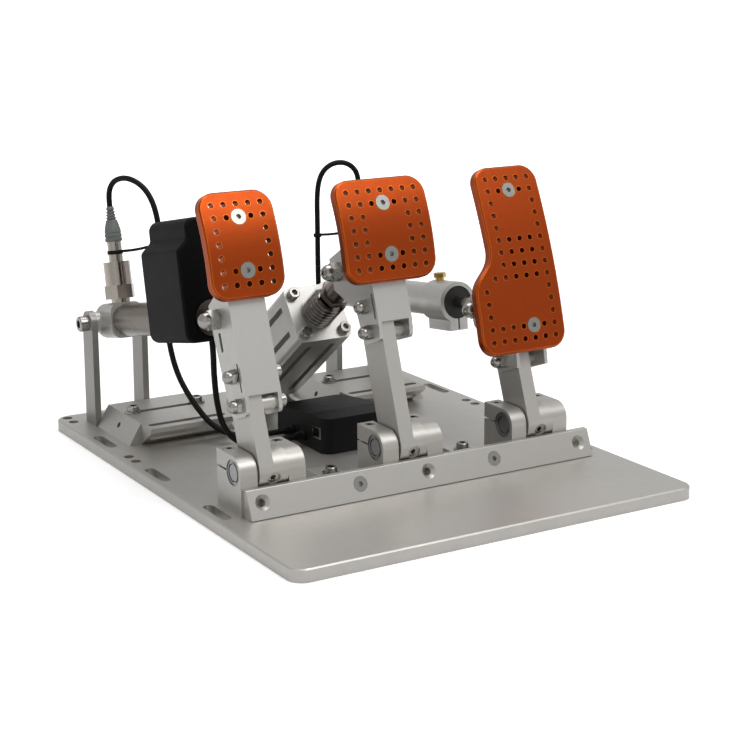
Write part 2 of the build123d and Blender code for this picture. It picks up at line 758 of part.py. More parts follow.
def pad_bracket(x, lean, bolts, push, slots, pad_centre, pad_size, radius, offsets):
    """Bracket: two side plates with a web across their front, holes for bolts and the push pin."""
    front = web_front(pad_centre, pad_size, radius)
    low = bolts[0][0] - m6 * 1.4
    web_low = bolts[0][0] + m6
    top = pad_centre[0] + offsets[1] + m6 * 1.4
    outer = boss_half_width + bracket_wall
    rear = min(push[1] - bracket_lobe, -arm_half_depth * 0.55)
    outline = [
        (low, front - bracket_web), (web_low, front), (top, front), (top, front - bracket_flange),
        (push[0] + bracket_lobe * bracket_neck_share, front - bracket_flange),
        (push[0] + bracket_lobe, rear), (push[0] - bracket_lobe * 1.1, rear),
        (bolts[1][0], -arm_half_depth * 0.9), (low, -arm_half_depth * 0.6)]
    with BuildPart() as bracket:
        for left in (x - outer, x + boss_half_width):
            with BuildSketch(side(left, pivot_y, pivot_z, lean)) as plate_face:
                with BuildLine():
                    Polyline(*outline, close=True)
                make_face()
                fillet(plate_face.vertices().sort_by_distance(
                    arm_point(left, lean, push[0], push[1]))[0:2], bracket_corner)
            extrude(amount=bracket_wall)
        with BuildSketch(side(x - outer, pivot_y, pivot_z, lean)):
            with BuildLine():
                Polyline(
                    (web_low, front - bracket_web), (web_low, front), (top, front),
                    (top, front - bracket_web), close=True)
            make_face()
        extrude(amount=2 * outer)
        with BuildSketch(side(x - outer - overrun, pivot_y, pivot_z, lean)):
            with Locations(*bolts):
                Circle(m6 / 2 + thread_clearance)
            with Locations(push):
                Circle(push_bolt_radius + thread_clearance)
        extrude(amount=2 * outer + 2 * overrun, mode=Mode.SUBTRACT)
        for slot in slots:
            with BuildSketch(side(x - outer - overrun, pivot_y, pivot_z, lean)):
                with Locations(slot):
                    SlotOverall(push_slot_length, push_slot_width)
            extrude(amount=bracket_wall + 2 * overrun, mode=Mode.SUBTRACT)
        with BuildSketch(side(x - outer - overrun, pivot_y, pivot_z, lean)):
            with Locations(((web_low + bolts[1][0]) / 2 + m6, front - bracket_web - relief_width * 0.75)):
                SlotOverall(bolts[1][0] - bolts[0][0], relief_width)
        extrude(amount=2 * outer + 2 * overrun, mode=Mode.SUBTRACT)
        with Locations(*pad_screw_places(x, lean, pad_centre, radius, offsets)):
            Hole(m6 / 2 + thread_clearance, depth=pad_thickness * 3)
    return bracket


def arm_bolts(x, lean, bolts, push):
    """Bolts across a bracket: cap heads on the right, dome nuts on the left, and the push pin."""
    outer = boss_half_width + bracket_wall
    bolt = socket_screw(m6, 2 * outer + nut_height * 0.8)
    pin = socket_screw(2 * push_bolt_radius, 2 * outer + nut_height * 0.8)
    nut = dome_nut(m6)
    large_nut = dome_nut(2 * push_bolt_radius)
    large_washer = washer(push_bolt_radius + thread_clearance, washer_radius * 1.1, washer_thickness)
    places = [arm_point(x, lean, *bolt_place) for bolt_place in bolts]
    push_place = arm_point(x, lean, *push)
    with BuildPart() as fasteners:
        with Locations(*[Plane(origin=(x + outer, p[1], p[2]), z_dir=(1, 0, 0)) for p in places]):
            add(bolt)
        with Locations(*[Plane(origin=(x - outer, p[1], p[2]), z_dir=(-1, 0, 0)) for p in places]):
            add(nut)
        with Locations(Plane(origin=(x + outer, push_place[1], push_place[2]), z_dir=(1, 0, 0))):
            add(pin)
        with Locations(Plane(origin=(x - outer, push_place[1], push_place[2]), z_dir=(-1, 0, 0))):
            add(large_washer)
        with Locations(Plane(
                origin=(x - outer - washer_thickness, push_place[1], push_place[2]), z_dir=(-1, 0, 0))):
            add(large_nut)
    return fasteners


def curved_pad(x, lean, pad_centre, radius, outline, holes, screw_offsets):
    """A pad: its outline cut from a curved wall, its front edge chamfered, its holes bored."""
    middle = arm_point(x, lean, pad_centre[0], pad_centre[1] - radius)
    face = facing(*arm_point(x, lean, pad_centre[0], pad_centre[1]), lean)
    half_span = throttle_pad_size[0]
    with BuildPart() as pad:
        with BuildSketch(face.offset(overrun)):
            add(outline)
        extrude(amount=-(pad_thickness * 3))
        with BuildSketch(side(x - half_span, middle[1], middle[2], lean), mode=Mode.PRIVATE) as wall:
            Circle(radius)
            Circle(radius - pad_thickness, mode=Mode.SUBTRACT)
        extrude(wall.sketch, amount=2 * half_span, mode=Mode.INTERSECT)
        front = pad.faces().sort_by(Axis(face.origin, face.z_dir))[-1]
        chamfer(front.edges(), pad_chamfer)
        with BuildSketch(face.offset(overrun)):
            with Locations(*holes):
                Circle(pad_hole_radius)
        extrude(amount=-(pad_thickness * 3), mode=Mode.SUBTRACT)
        with Locations(*pad_screw_places(x, lean, pad_centre, radius, screw_offsets)):
            CounterSinkHole(
                m6 / 2 + thread_clearance, flat_head_radius + flat_head_gap,
                depth=pad_thickness + overrun * 2,
                counter_sink_angle=flat_head_angle)
    return pad


def pad_screws(x, lean, pad_centre, radius, offsets, length):
    """The pad's two countersunk screws and the arm's set screw, as separate solids."""
    screw = flat_screw(m6, length)
    set_screw_length = boss_radius - set_screw_sink - axle_radius - 2 * thread_clearance
    with BuildPart() as screws:
        with Locations(*pad_screw_places(x, lean, pad_centre, radius, offsets)):
            add(screw)
        with BuildSketch(facing(x, pivot_y, pivot_z, -lean).offset(axle_radius + thread_clearance)):
            Circle(set_screw_radius)
        extrude(amount=set_screw_length)
        with BuildSketch(facing(x, pivot_y, pivot_z, -lean).offset(
                axle_radius + thread_clearance + set_screw_length)):
            RegularPolygon(set_screw_radius * hexagon_share, 6)
        extrude(amount=-set_screw_radius, mode=Mode.SUBTRACT)
    return screws


def spacers(x, lean, bolts, pad_centre, pad_size, radius, offsets):
    """Round spacers: beside the arm on each bracket bolt, and behind the pad on each pad screw."""
    front = web_front(pad_centre, pad_size, radius)
    middle = arm_point(x, lean, pad_centre[0], pad_centre[1] - radius)
    with BuildPart() as rings:
        for offset in offsets:
            place = facing(*arm_point(x, lean, pad_centre[0] + offset, front), lean)
            with BuildSketch(place):
                Circle(spacer_radius)
            extrude(amount=pad_thickness * 3)
        with BuildSketch(side(x - plate_thickness, middle[1], middle[2], lean), mode=Mode.PRIVATE) as inside:
            Circle(radius - pad_thickness - seat_gap)
        extrude(inside.sketch, amount=2 * plate_thickness, mode=Mode.INTERSECT)
        with Locations(*pad_screw_places(x, lean, pad_centre, radius, offsets)):
            Hole(m6 / 2 + thread_clearance, depth=pad_thickness * 3)
        for bolt_place in bolts:
            with BuildSketch(side(x, *arm_point(x, lean, *bolt_place)[1:], lean)):
                Circle(spacer_radius)
                Circle(m6 / 2 + thread_clearance, mode=Mode.SUBTRACT)
            extrude(amount=boss_half_width)
    return rings


def axle(x):
    """A pivot axle with chamfered ends, a hair under its bore."""
    half = ear_outer - axle_recess
    with BuildPart() as shaft:
        with BuildSketch(at_x(x - half, pivot_y, pivot_z)):
            Circle(axle_radius - running_clearance)
        extrude(amount=2 * half)
        chamfer(shaft.edges().filter_by(GeomType.CIRCLE), edge_break)
    return shaft


def grid_holes(kept):
    """Hole centres on the pad's grid, from the middle, for the rows and columns that are bored."""
    points = []
    rows = len(kept)
    for row in range(rows):
        for column in kept[row]:
            points.append((column * hole_pitch, ((rows - 1) / 2 - row) * hole_pitch))
    return points


clutch_kept = (
    (-2, -1, 0, 1, 2), (-2, -1, 1, 2), (-2, 2), (-2, 2), (-2, 2), (-2, -1, 1, 2), (-2, -1, 0, 1, 2))
wide_row = (-3, -2, -1, 0, 1, 2, 3)
brake_kept = (
    wide_row, (-3, -2, -1, 1, 2, 3), (-3, -2, 2, 3), (-3, -2, 2, 3), (-3, -2, 2, 3),
    (-3, -2, -1, 1, 2, 3), wide_row)
full_row = (-2, -1, 0, 1, 2)
throttle_kept = (
    full_row, (-2, -1, 1, 2), (-2, 2), (-2, 2), (-2, 2), full_row, full_row, full_row,
    (-3, -2, -1, 0, 1, 2), (-4, 2), (-4, 2), (-4, 2), (-4, -3, -2, -1, 1, 2), (-4, -3, -2, -1, 0, 1, 2))

with BuildSketch() as clutch_outline:
    RectangleRounded(*clutch_pad_size, pad_corner)
with BuildSketch() as brake_outline:
    RectangleRounded(*brake_pad_size, pad_corner)

throttle_right = throttle_pad_top_width / 2
throttle_left = throttle_right - throttle_pad_size[0]
throttle_half = throttle_pad_size[1] / 2
bend_top = hole_pitch * 1.0
bend_bottom = -hole_pitch * 2.9
bend_middle = (bend_top + bend_bottom) / 2
with BuildSketch() as throttle_outline:
    with BuildLine():
        Line((-throttle_right, throttle_half), (throttle_right, throttle_half))
        Line((throttle_right, throttle_half), (throttle_right, -throttle_half))
        Line((throttle_right, -throttle_half), (throttle_left, -throttle_half))
        Line((throttle_left, -throttle_half), (throttle_left, bend_bottom))
        Bezier(
            (throttle_left, bend_bottom), (throttle_left, bend_middle),
            (-throttle_right, bend_middle), (-throttle_right, bend_top))
        Line((-throttle_right, bend_top), (-throttle_right, throttle_half))
    make_face()
    corners = throttle_outline.vertices().group_by(Axis.Y)
    fillet(list(corners[0]) + list(corners[-1]), pad_corner)

short_offsets = (-2 * hole_pitch, 2 * hole_pitch)
long_offsets = (-5.5 * hole_pitch, 5.5 * hole_pitch)
pedals = (
    ("clutch", clutch_x, clutch_lean, clutch_bolts, clutch_push, clutch_pad_centre, clutch_pad_size,
     clutch_pad_radius, clutch_outline, grid_holes(clutch_kept), short_offsets),
    ("brake", brake_x, brake_lean, brake_bolts, brake_push, brake_pad_centre, brake_pad_size,
     brake_pad_radius, brake_outline, grid_holes(brake_kept), short_offsets),
    ("throttle", throttle_x, throttle_lean, throttle_bolts, throttle_push, throttle_pad_centre,
     throttle_pad_size, throttle_pad_radius, throttle_outline, grid_holes(throttle_kept), long_offsets))

for name, x, lean, bolts, push, pad_centre, pad_size, radius, outline, holes, offsets in pedals:
    finish(pedal_arm(x, lean, bolts), name + "_arm")
    finish(axle(x), name + "_axle")
    slots = (clutch_push_slot,) if name == "clutch" else ()
    bracket = pad_bracket(x, lean, bolts, push, slots, pad_centre, pad_size, radius, offsets)
    finish(bracket, name + "_pad_bracket")
    finish(arm_bolts(x, lean, bolts, push), name + "_bracket_bolts")
    finish(curved_pad(x, lean, pad_centre, radius, outline.sketch, holes, offsets), name + "_pad")
    finish(pad_screws(x, lean, pad_centre, radius, offsets, pad_screw_length), name + "_screws")
    finish(spacers(x, lean, bolts, pad_centre, pad_size, radius, offsets), name + "_spacers")


# Cylinders. The clutch and throttle ones swing on the posts and push on the brackets' push pins.

def end_cap(x, rear, front):
    """The eye on a cylinder's rear end, flat on top where the sensor screws in."""
    with BuildPart() as cap:
        with BuildSketch(cylinder_side(x + eye_half_width, rear, front, 0)):
            Circle(eye_radius)
            with Locations((cap_length / 2, 0)):
                Rectangle(cap_length, 2 * eye_radius)
        extrude(amount=2 * eye_half_width)
        middle = cylinder_plane(x, rear, front, 0)
        long_edges = cap.edges().filter_by(Axis(middle.origin, middle.z_dir))
        fillet(long_edges, eye_radius * 0.55)
        with BuildSketch(at_x(x - eye_half_width, rear[0], rear[1])):
            Circle(rear_bolt_radius + thread_clearance)
        extrude(amount=2 * eye_half_width, mode=Mode.SUBTRACT)
        for sign in (-1, 1):
            with BuildSketch(at_x(x + sign * eye_half_width, rear[0], rear[1])):
                Circle(eye_radius * 0.6)
                Circle(rear_bolt_radius + thread_clearance, mode=Mode.SUBTRACT)
            extrude(amount=sign * side_washer)
    return cap


def tube(x, rear, front, end, gland):
    """The cylinder's tube, from the end cap to a front gland that the rod runs in."""
    with BuildPart() as shell:
        with BuildSketch(cylinder_plane(x, rear, front, cap_length)):
            Circle(tube_radius)
            Circle(tube_radius - tube_wall, mode=Mode.SUBTRACT)
        extrude(amount=end - cap_length)
        if gland:
            with BuildSketch(cylinder_plane(x, rear, front, end - gland_length)):
                Circle(tube_radius - tube_wall)
                Circle(rod_radius + rod_play, mode=Mode.SUBTRACT)
            extrude(amount=gland_length)
    return shell


def push_rod(x, rear, front):
    """The rod with its flat eye, whose bore leaves the push pin room to wander."""
    length = sqrt((front[0] - rear[0]) ** 2 + (front[1] - rear[1]) ** 2)
    with BuildPart() as rod:
        with BuildSketch(cylinder_plane(x, rear, front, rod_inner_end)):
            Circle(rod_radius)
        extrude(amount=length - rod_inner_end - push_bolt_radius * 2)
        with BuildSketch(cylinder_plane(x, rear, front, length - rod_head_length)):
            Circle(rod_radius * 1.6)
        extrude(amount=rod_head_length / 2)
        with BuildSketch(cylinder_side(x + rod_eye_width / 2, rear, front, length)):
            Circle(rod_head_radius)
        extrude(amount=rod_eye_width)
        with BuildSketch(cylinder_side(x + rod_eye_width / 2, rear, front, length)):
            Circle(push_bolt_radius + push_eye_play)
        extrude(amount=rod_eye_width, mode=Mode.SUBTRACT)
    return rod


def pressure_sensor(x, rear, front):
    """Sensor: a seal, a hexagon, a round body and a neck, standing on the end cap."""
    base = cylinder_plane(x, rear, front, sensor_from_pivot)
    stand = upright(base, 0, 0, 0)
    nut_top = seal_top + sensor_nut_height
    body_top = nut_top + sensor_body_height
    with BuildPart() as sensor:
        with BuildSketch(stand.offset(eye_radius)):
            Circle(seal_radius)
        extrude(amount=seal_top - eye_radius)
        with BuildSketch(stand.offset(seal_top)):
            RegularPolygon(sensor_nut_radius, 6)
        extrude(amount=sensor_nut_height)
        with BuildSketch(stand.offset(nut_top)):
            Circle(sensor_body_radius)
        extrude(amount=sensor_body_height)
        with BuildSketch(stand.offset(body_top)):
            Circle(sensor_neck_radius)
        extrude(amount=sensor_neck_height)
    return sensor


def connector(x, rear, front):
    """Grey plug on a sensor: a ribbed grip that tapers to the cable."""
    base = cylinder_plane(x, rear, front, sensor_from_pivot)
    start = seal_top + sensor_nut_height + sensor_body_height + sensor_neck_height
    stand = upright(base, 0, 0, 0).offset(start)
    grip = connector_height * 0.35
    neck = connector_height * 0.75
    with BuildPart() as plug:
        with BuildSketch(stand):
            Circle(connector_radius)
        extrude(amount=grip)
        with BuildSketch(stand.offset(grip)):
            Circle(connector_radius)
        with BuildSketch(stand.offset(neck)):
            Circle(connector_tip_radius)
        loft()
        with BuildSketch(stand.offset(neck)):
            Circle(connector_tip_radius)
        extrude(amount=connector_height - neck)
    return plug


for name, x, front in (("clutch", clutch_x, clutch_front), ("throttle", throttle_x, throttle_front)):
    tube_end = clutch_tube_end if name == "clutch" else throttle_tube_end
    finish(end_cap(x, rear_pivot, front), name + "_end_cap")
    finish(tube(x, rear_pivot, front, tube_end, name == "clutch"), name + "_tube")
    finish(push_rod(x, rear_pivot, front), name + "_push_rod")
    finish(pressure_sensor(x, rear_pivot, front), name + "_sensor")
    finish(connector(x, rear_pivot, front), name + "_connector")

# Black cover round the clutch tube: a wide body with a narrower round lobe on top

cover_length = cover_end - cover_start


def cover_outline(inset):
    """The cover's section, drawn in by a wall: body, shoulders and lobe with rounded corners."""
    wide = cover_half_width - inset
    narrow = cover_lobe_half_width - inset
    bottom = -cover_bottom + inset
    top = cover_top - inset
    shoulder = cover_shoulder - inset
    with BuildSketch() as section:
        with BuildLine():
            Polyline(
                (-wide, bottom), (wide, bottom), (wide, shoulder), (narrow, shoulder + cover_corner),
                (narrow, top), (-narrow, top), (-narrow, shoulder + cover_corner), (-wide, shoulder),
                close=True)
        make_face()
        corners = section.vertices().group_by(Axis.Y)
        fillet(list(corners[1]) + list(corners[2]), cover_corner * 0.6)
        corners = section.vertices().group_by(Axis.Y)
        fillet(list(corners[0]) + list(corners[-1]), cover_corner)
    return section.sketch


with BuildPart() as clutch_cover:
    with BuildSketch(cylinder_plane(clutch_x, rear_pivot, clutch_front, cover_start)):
        add(cover_outline(0))
    extrude(amount=cover_length)
    cover_ends = clutch_cover.faces().sort_by(Axis(
        cylinder_plane(clutch_x, rear_pivot, clutch_front, 0).origin,
        cylinder_plane(clutch_x, rear_pivot, clutch_front, 0).z_dir))
    fillet(cover_ends[-1].edges() + cover_ends[0].edges(), cover_edge)
    with BuildSketch(cylinder_plane(clutch_x, rear_pivot, clutch_front, cover_start + cover_wall)):
        add(cover_outline(cover_wall))
    extrude(amount=cover_length - 2 * cover_wall, mode=Mode.SUBTRACT)
    with BuildSketch(cylinder_plane(clutch_x, rear_pivot, clutch_front, cover_start)):
        Circle(tube_radius + cover_play)
    extrude(amount=cover_length, mode=Mode.SUBTRACT)
finish(clutch_cover, "clutch_cover")

# Split clamp ring on the throttle tube, its rubber bush and a brass knob on top

clamp_start = clamp_end - clamp_length
with BuildPart() as throttle_clamp:
    with BuildSketch(cylinder_plane(throttle_x, rear_pivot, throttle_front, clamp_start)):
        Circle(clamp_radius)
        with Locations((0, -clamp_flange / 2)):
            Rectangle(clamp_radius, clamp_flange)
        Circle(tube_radius + seat_gap, mode=Mode.SUBTRACT)
        with Locations((0, -clamp_flange / 2 - overrun)):
            Rectangle(pinch_slit, clamp_flange, mode=Mode.SUBTRACT)
    extrude(amount=clamp_length)
finish(throttle_clamp, "throttle_clamp")

with BuildPart() as throttle_bush:
    with BuildSketch(cylinder_plane(throttle_x, rear_pivot, throttle_front, throttle_tube_end)):
        Circle(tube_radius - seat_gap)
        Circle(rod_radius + rod_play, mode=Mode.SUBTRACT)
    extrude(amount=clamp_end - throttle_tube_end - edge_break)
finish(throttle_bush, "throttle_bush")

knob_base = cylinder_plane(throttle_x, rear_pivot, throttle_front, clamp_start + knob_radius * 1.4)
with BuildPart() as throttle_knob:
    with BuildSketch(upright(knob_base, 0, 0, 0).offset(clamp_radius * 0.96)):
        Circle(knob_radius * 0.7)
    extrude(amount=knob_height * 0.45)
    with BuildSketch(upright(knob_base, 0, 0, 0).offset(clamp_radius * 0.96 + knob_height * 0.45)):
        RegularPolygon(knob_radius, 8)
    extrude(amount=knob_height * 0.55)
    with BuildSketch(knob_base.offset(-knob_radius * 1.4)):
        Circle(clamp_radius + seat_gap)
    extrude(amount=clamp_length, mode=Mode.SUBTRACT)
finish(throttle_knob, "throttle_knob")

# Brake cylinder: a square slotted body between two caps, on a tongue that swings in the clevis

brake_length = sqrt((brake_front[0] - brake_rear_y) ** 2 + (brake_front[1] - brake_rear_z) ** 2)


def brake_plane(back):
    """A plane across the brake cylinder, so far back from its push eye."""
    return cylinder_plane(brake_x, brake_rear, brake_front, brake_length - back)


with BuildPart() as brake_cylinder:
    with BuildSketch(brake_plane(brake_body_end)):
        RectangleRounded(2 * brake_body_half, 2 * brake_body_half, brake_body_corner)
        Circle(brake_bore_radius, mode=Mode.SUBTRACT)
        with PolarLocations(0, 4):
            with Locations(
                    (brake_slot_offset, brake_body_half - brake_slot_depth / 2),
                    (-brake_slot_offset, brake_body_half - brake_slot_depth / 2)):
                Rectangle(brake_slot_width, brake_slot_depth, mode=Mode.SUBTRACT)
    extrude(amount=brake_body_end - brake_body_start)
finish(brake_cylinder, "brake_cylinder")

with BuildPart() as brake_front_cap:
    with BuildSketch(brake_plane(brake_body_start)):
        RectangleRounded(2 * brake_body_half, 2 * brake_body_half, brake_body_corner)
        Circle(brake_rod_radius + rod_play, mode=Mode.SUBTRACT)
        with GridLocations(2 * cap_bolt_offset, 2 * cap_bolt_offset, 2, 2):
            Circle(m6 / 2 + thread_clearance, mode=Mode.SUBTRACT)
    extrude(amount=brake_cap_length)
finish(brake_front_cap, "brake_front_cap")

cap_face = brake_plane(brake_body_start - brake_cap_length)
cap_bolt = socket_screw(m6, brake_cap_length)
brake_cap_bolts = group(
    cap_bolt,
    [Plane(origin=cap_face.origin + (cap_face.x_dir * across + cap_face.y_dir * up) * cap_bolt_offset,
           x_dir=cap_face.x_dir, z_dir=cap_face.z_dir) for across in (-1, 1) for up in (-1, 1)])
finish(brake_cap_bolts, "brake_cap_bolts")

with BuildPart() as brake_rear_cap:
    with BuildSketch(brake_plane(brake_body_end + brake_cap_length)):
        RectangleRounded(2 * brake_body_half, 2 * brake_body_half, brake_body_corner)
    extrude(amount=brake_cap_length)
    with BuildSketch(cylinder_side(brake_x + brake_tongue / 2, brake_rear, brake_front, 0)):
        Circle(brake_eye_radius)
        Rectangle(brake_length - brake_body_end, 2 * brake_eye_radius, align=(Align.MIN, Align.CENTER))
    extrude(amount=brake_tongue)
    with BuildSketch(at_x(brake_x - brake_tongue, brake_rear_y, brake_rear_z)):
        Circle(rear_bolt_radius + running_clearance * 2)
    extrude(amount=2 * brake_tongue, mode=Mode.SUBTRACT)
finish(brake_rear_cap, "brake_rear_cap")

stack_end = brake_body_start - brake_cap_length
disc_pitch = (stack_end - stack_start) / stack_discs
with BuildPart() as disc_springs:
    for index in range(stack_discs):
        base = brake_plane(stack_end - index * disc_pitch)
        rim = Plane(origin=base.origin, x_dir=base.x_dir, z_dir=-base.y_dir)
        bore = brake_rod_radius + stack_bore_play
        with BuildSketch(rim):
            with BuildLine():
                Polyline(
                    (bore, 0), (stack_radius, disc_pitch * 0.22), (stack_radius, disc_pitch * 0.72),
                    (bore, disc_pitch * 0.98), close=True)
            make_face()
        revolve(axis=Axis(base.origin, base.z_dir), mode=Mode.ADD)
finish(disc_springs, "disc_springs")

with BuildPart() as brake_rod:
    with BuildSketch(brake_plane(brake_body_start + brake_bore_radius * 2)):
        Circle(brake_bore_radius - seat_gap * 10)
    extrude(amount=brake_bore_radius)
    with BuildSketch(brake_plane(brake_body_start + brake_bore_radius)):
        Circle(brake_rod_radius)
    extrude(amount=brake_body_start + brake_bore_radius - coupling_end)
    with BuildSketch(brake_plane(coupling_end)):
        Circle(coupling_radius)
    extrude(amount=coupling_end - coupling_start)
    with BuildSketch(brake_plane(coupling_end)):
        RegularPolygon(collar_radius, 6)
    extrude(amount=collar_height)
    with BuildSketch(brake_plane(coupling_start)):
        Circle(brake_rod_radius * 1.3)
    extrude(amount=coupling_start - brake_eye_radius / 2)
    with BuildSketch(cylinder_side(brake_x + brake_eye_width / 2, brake_rear, brake_front, brake_length)):
        Circle(brake_eye_radius)
    extrude(amount=brake_eye_width)
    with BuildSketch(cylinder_side(brake_x + brake_eye_width / 2, brake_rear, brake_front, brake_length)):
        Circle(push_bolt_radius + push_eye_play)
    extrude(amount=brake_eye_width, mode=Mode.SUBTRACT)
finish(brake_rod, "brake_rod")

# Control box: a base tray, a lid that slopes to the rear and a metal socket on its left side

box_width = box_right_x - box_left_x
box_depth = box_rear_y - box_front_y
box_centre = ((box_left_x + box_right_x) / 2, (box_front_y + box_rear_y) / 2)
socket_face = Plane(
    origin=(box_left_x, socket_y, plate_top + socket_height), x_dir=(0, 1, 0), z_dir=(-1, 0, 0))
with BuildPart() as control_box_base:
    with BuildSketch(Plane.XY.offset(plate_top)):
        with Locations(box_centre):
            RectangleRounded(box_width, box_depth, box_corner)
    extrude(amount=box_base_height)
    with BuildSketch(Plane.XY.offset(plate_top + box_wall)):
        with Locations(box_centre):
            RectangleRounded(box_width - 2 * box_wall, box_depth - 2 * box_wall, box_corner - box_wall)
    extrude(amount=box_base_height, mode=Mode.SUBTRACT)
    with BuildSketch(socket_face.offset(overrun)):
        Rectangle(socket_width + 2 * seat_gap, socket_tall + 2 * seat_gap)
    extrude(amount=-socket_depth - 2 * overrun, mode=Mode.SUBTRACT)
finish(control_box_base, "control_box_base")

with BuildPart() as control_box_lid:
    with BuildSketch(Plane.XY.offset(plate_top + box_base_height)):
        with Locations(box_centre):
            RectangleRounded(box_width, box_depth, box_corner)
    extrude(amount=box_front_height - box_base_height)
    with BuildSketch(at_x(box_left_x - overrun, 0, 0)):
        with BuildLine():
            Polyline(
                (box_front_y - overrun, plate_top + box_front_height + overrun),
                (box_front_y + box_depth * 0.28, plate_top + box_front_height),
                (box_rear_y + overrun, plate_top + box_rear_height),
                (box_rear_y + overrun, plate_top + box_front_height + 2 * overrun), close=True)
        make_face()
    extrude(amount=box_width + 2 * overrun, mode=Mode.SUBTRACT)
    with BuildSketch(Plane.XY.offset(plate_top + box_base_height)):
        with Locations(box_centre):
            RectangleRounded(box_width - 2 * box_wall, box_depth - 2 * box_wall, box_corner - box_wall)
    extrude(amount=box_rear_height - box_base_height - box_wall, mode=Mode.SUBTRACT)
    with BuildSketch(socket_face.offset(overrun)):
        Rectangle(socket_width + 2 * seat_gap, socket_tall + 2 * seat_gap)
    extrude(amount=-socket_depth - 2 * overrun, mode=Mode.SUBTRACT)
finish(control_box_lid, "control_box_lid")

with BuildPart() as usb_socket:
    with BuildSketch(socket_face.offset(socket_proud - socket_depth)):
        Rectangle(socket_width, socket_tall)
    extrude(amount=socket_depth)
    with BuildSketch(socket_face.offset(socket_proud)):
        Rectangle(socket_width - 2 * socket_wall, socket_tall - 2 * socket_wall)
    extrude(amount=socket_wall - socket_depth, mode=Mode.SUBTRACT)
finish(usb_socket, "usb_socket")


# Cables

def cable(route, name):
    """A tube along straight runs joined by tangent arcs as large as the runs allow."""
    points = [Vector(*point) for point in route]
    radii = []
    for before, here, after in zip(points, points[1:], points[2:]):
        first = here - before
        second = after - here
        turn = radians(first.get_angle(second))
        shorter = min(first.length, second.length)
        radii.append(cable_run_share * shorter / tan(turn / 2))
    with BuildPart() as lead:
        with BuildLine() as path:
            FilletPolyline(*points, radius=radii)
        with BuildSketch(Plane(origin=points[0], z_dir=points[1] - points[0])):
            Circle(cable_radius)
        sweep()
    length = sum(edge.length for edge in path.edges())
    expected = pi * cable_radius ** 2 * length
    print(name, "length", round(length, 1), "least radius", round(min(radii), 1),
          "volume share", round(lead.part.volume / expected, 4))
    return lead


for name, route in (
        ("clutch_cable", clutch_cable_route), ("cover_cable", cover_cable_route),
        ("throttle_cable", throttle_cable_route)):
    finish(cable(route, name), name)
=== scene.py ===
"""Dressed scene of a three-pedal set: finishes on the CAD parts, cables, plugs, ties and disc springs."""
import json
from math import pi, radians

import bpy
import numpy as np
from mathutils import Matrix, Vector


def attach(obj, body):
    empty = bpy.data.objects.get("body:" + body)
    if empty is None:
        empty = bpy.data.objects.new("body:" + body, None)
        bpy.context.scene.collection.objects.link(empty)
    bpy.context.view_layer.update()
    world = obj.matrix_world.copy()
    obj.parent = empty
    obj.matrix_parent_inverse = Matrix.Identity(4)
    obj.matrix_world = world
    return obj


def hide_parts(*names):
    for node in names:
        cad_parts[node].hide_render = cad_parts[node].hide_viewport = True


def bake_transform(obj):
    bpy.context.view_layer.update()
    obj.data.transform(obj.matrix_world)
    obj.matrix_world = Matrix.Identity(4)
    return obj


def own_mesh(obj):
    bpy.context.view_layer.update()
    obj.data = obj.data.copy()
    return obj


bl_info = {
    "name": "Racing Pedal Set",
    "version": (1, 0, 0),
    "blender": (4, 5, 0),
    "location": "3D View > Sidebar > Pedals",
    "description": "Dresses the pedal set's frame with its finishes, cables, plugs, ties and springs",
    "category": "Object",
}

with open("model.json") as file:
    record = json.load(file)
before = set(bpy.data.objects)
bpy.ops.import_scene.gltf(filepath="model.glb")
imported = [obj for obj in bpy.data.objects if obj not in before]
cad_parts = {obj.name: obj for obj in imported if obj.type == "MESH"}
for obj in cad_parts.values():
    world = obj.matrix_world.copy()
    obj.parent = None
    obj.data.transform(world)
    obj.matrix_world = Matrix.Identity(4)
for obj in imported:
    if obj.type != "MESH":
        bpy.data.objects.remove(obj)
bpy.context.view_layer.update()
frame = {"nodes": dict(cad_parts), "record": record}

# Control points of each cable, in metres, from its plug or housing down to the control box.
CLUTCH_ROUTE = (
    (-.1287, .187025, .19885), (-.1287, .18875, .20767), (-.1278, .1863, .2163), (-.1255, .1796, .2227),
    (-.1207, .1657, .2258), (-.1150, .1493, .2211), (-.1113, .1388, .2111), (-.1094, .1332, .1984),
    (-.1083, .1303, .1807), (-.1083, .1278, .1550), (-.1090, .1240, .1280), (-.1095, .1210, .1030),
    (-.1060, .1150, .0680), (-.1000, .0970, .0440), (-.0890, .0770, .0225), (-.0700, .0620, .0155),
    (-.0490, .0520, .0185), (-.0280, .0520, .0185))
COVER_ROUTE = (
    (-.1220, .0060, .11715), (-.1220, .00408, .10734), (-.1210, .0065, .0900), (-.1160, .0140, .0660),
    (-.1070, .0240, .0420), (-.0930, .0320, .0240), (-.0720, .0350, .0155), (-.0500, .0320, .0185),
    (-.0280, .0320, .0185))
THROTTLE_ROUTE = (
    (.1123, .178665, .1985), (.1123, .17964, .20744), (.1082, .1804, .2154), (.1003, .1819, .2206),
    (.0900, .1839, .2210), (.0809, .1856, .2161), (.0752, .1867, .2068), (.0730, .1871, .1910),
    (.0730, .1868, .1660), (.0726, .1865, .1270), (.0725, .1855, .0870), (.0700, .1875, .0530),
    (.0620, .1900, .0280), (.0440, .1880, .0150), (.0270, .1710, .0136), (.0190, .1430, .0146),
    (.0160, .1130, .0185), (.0160, .0860, .0185))

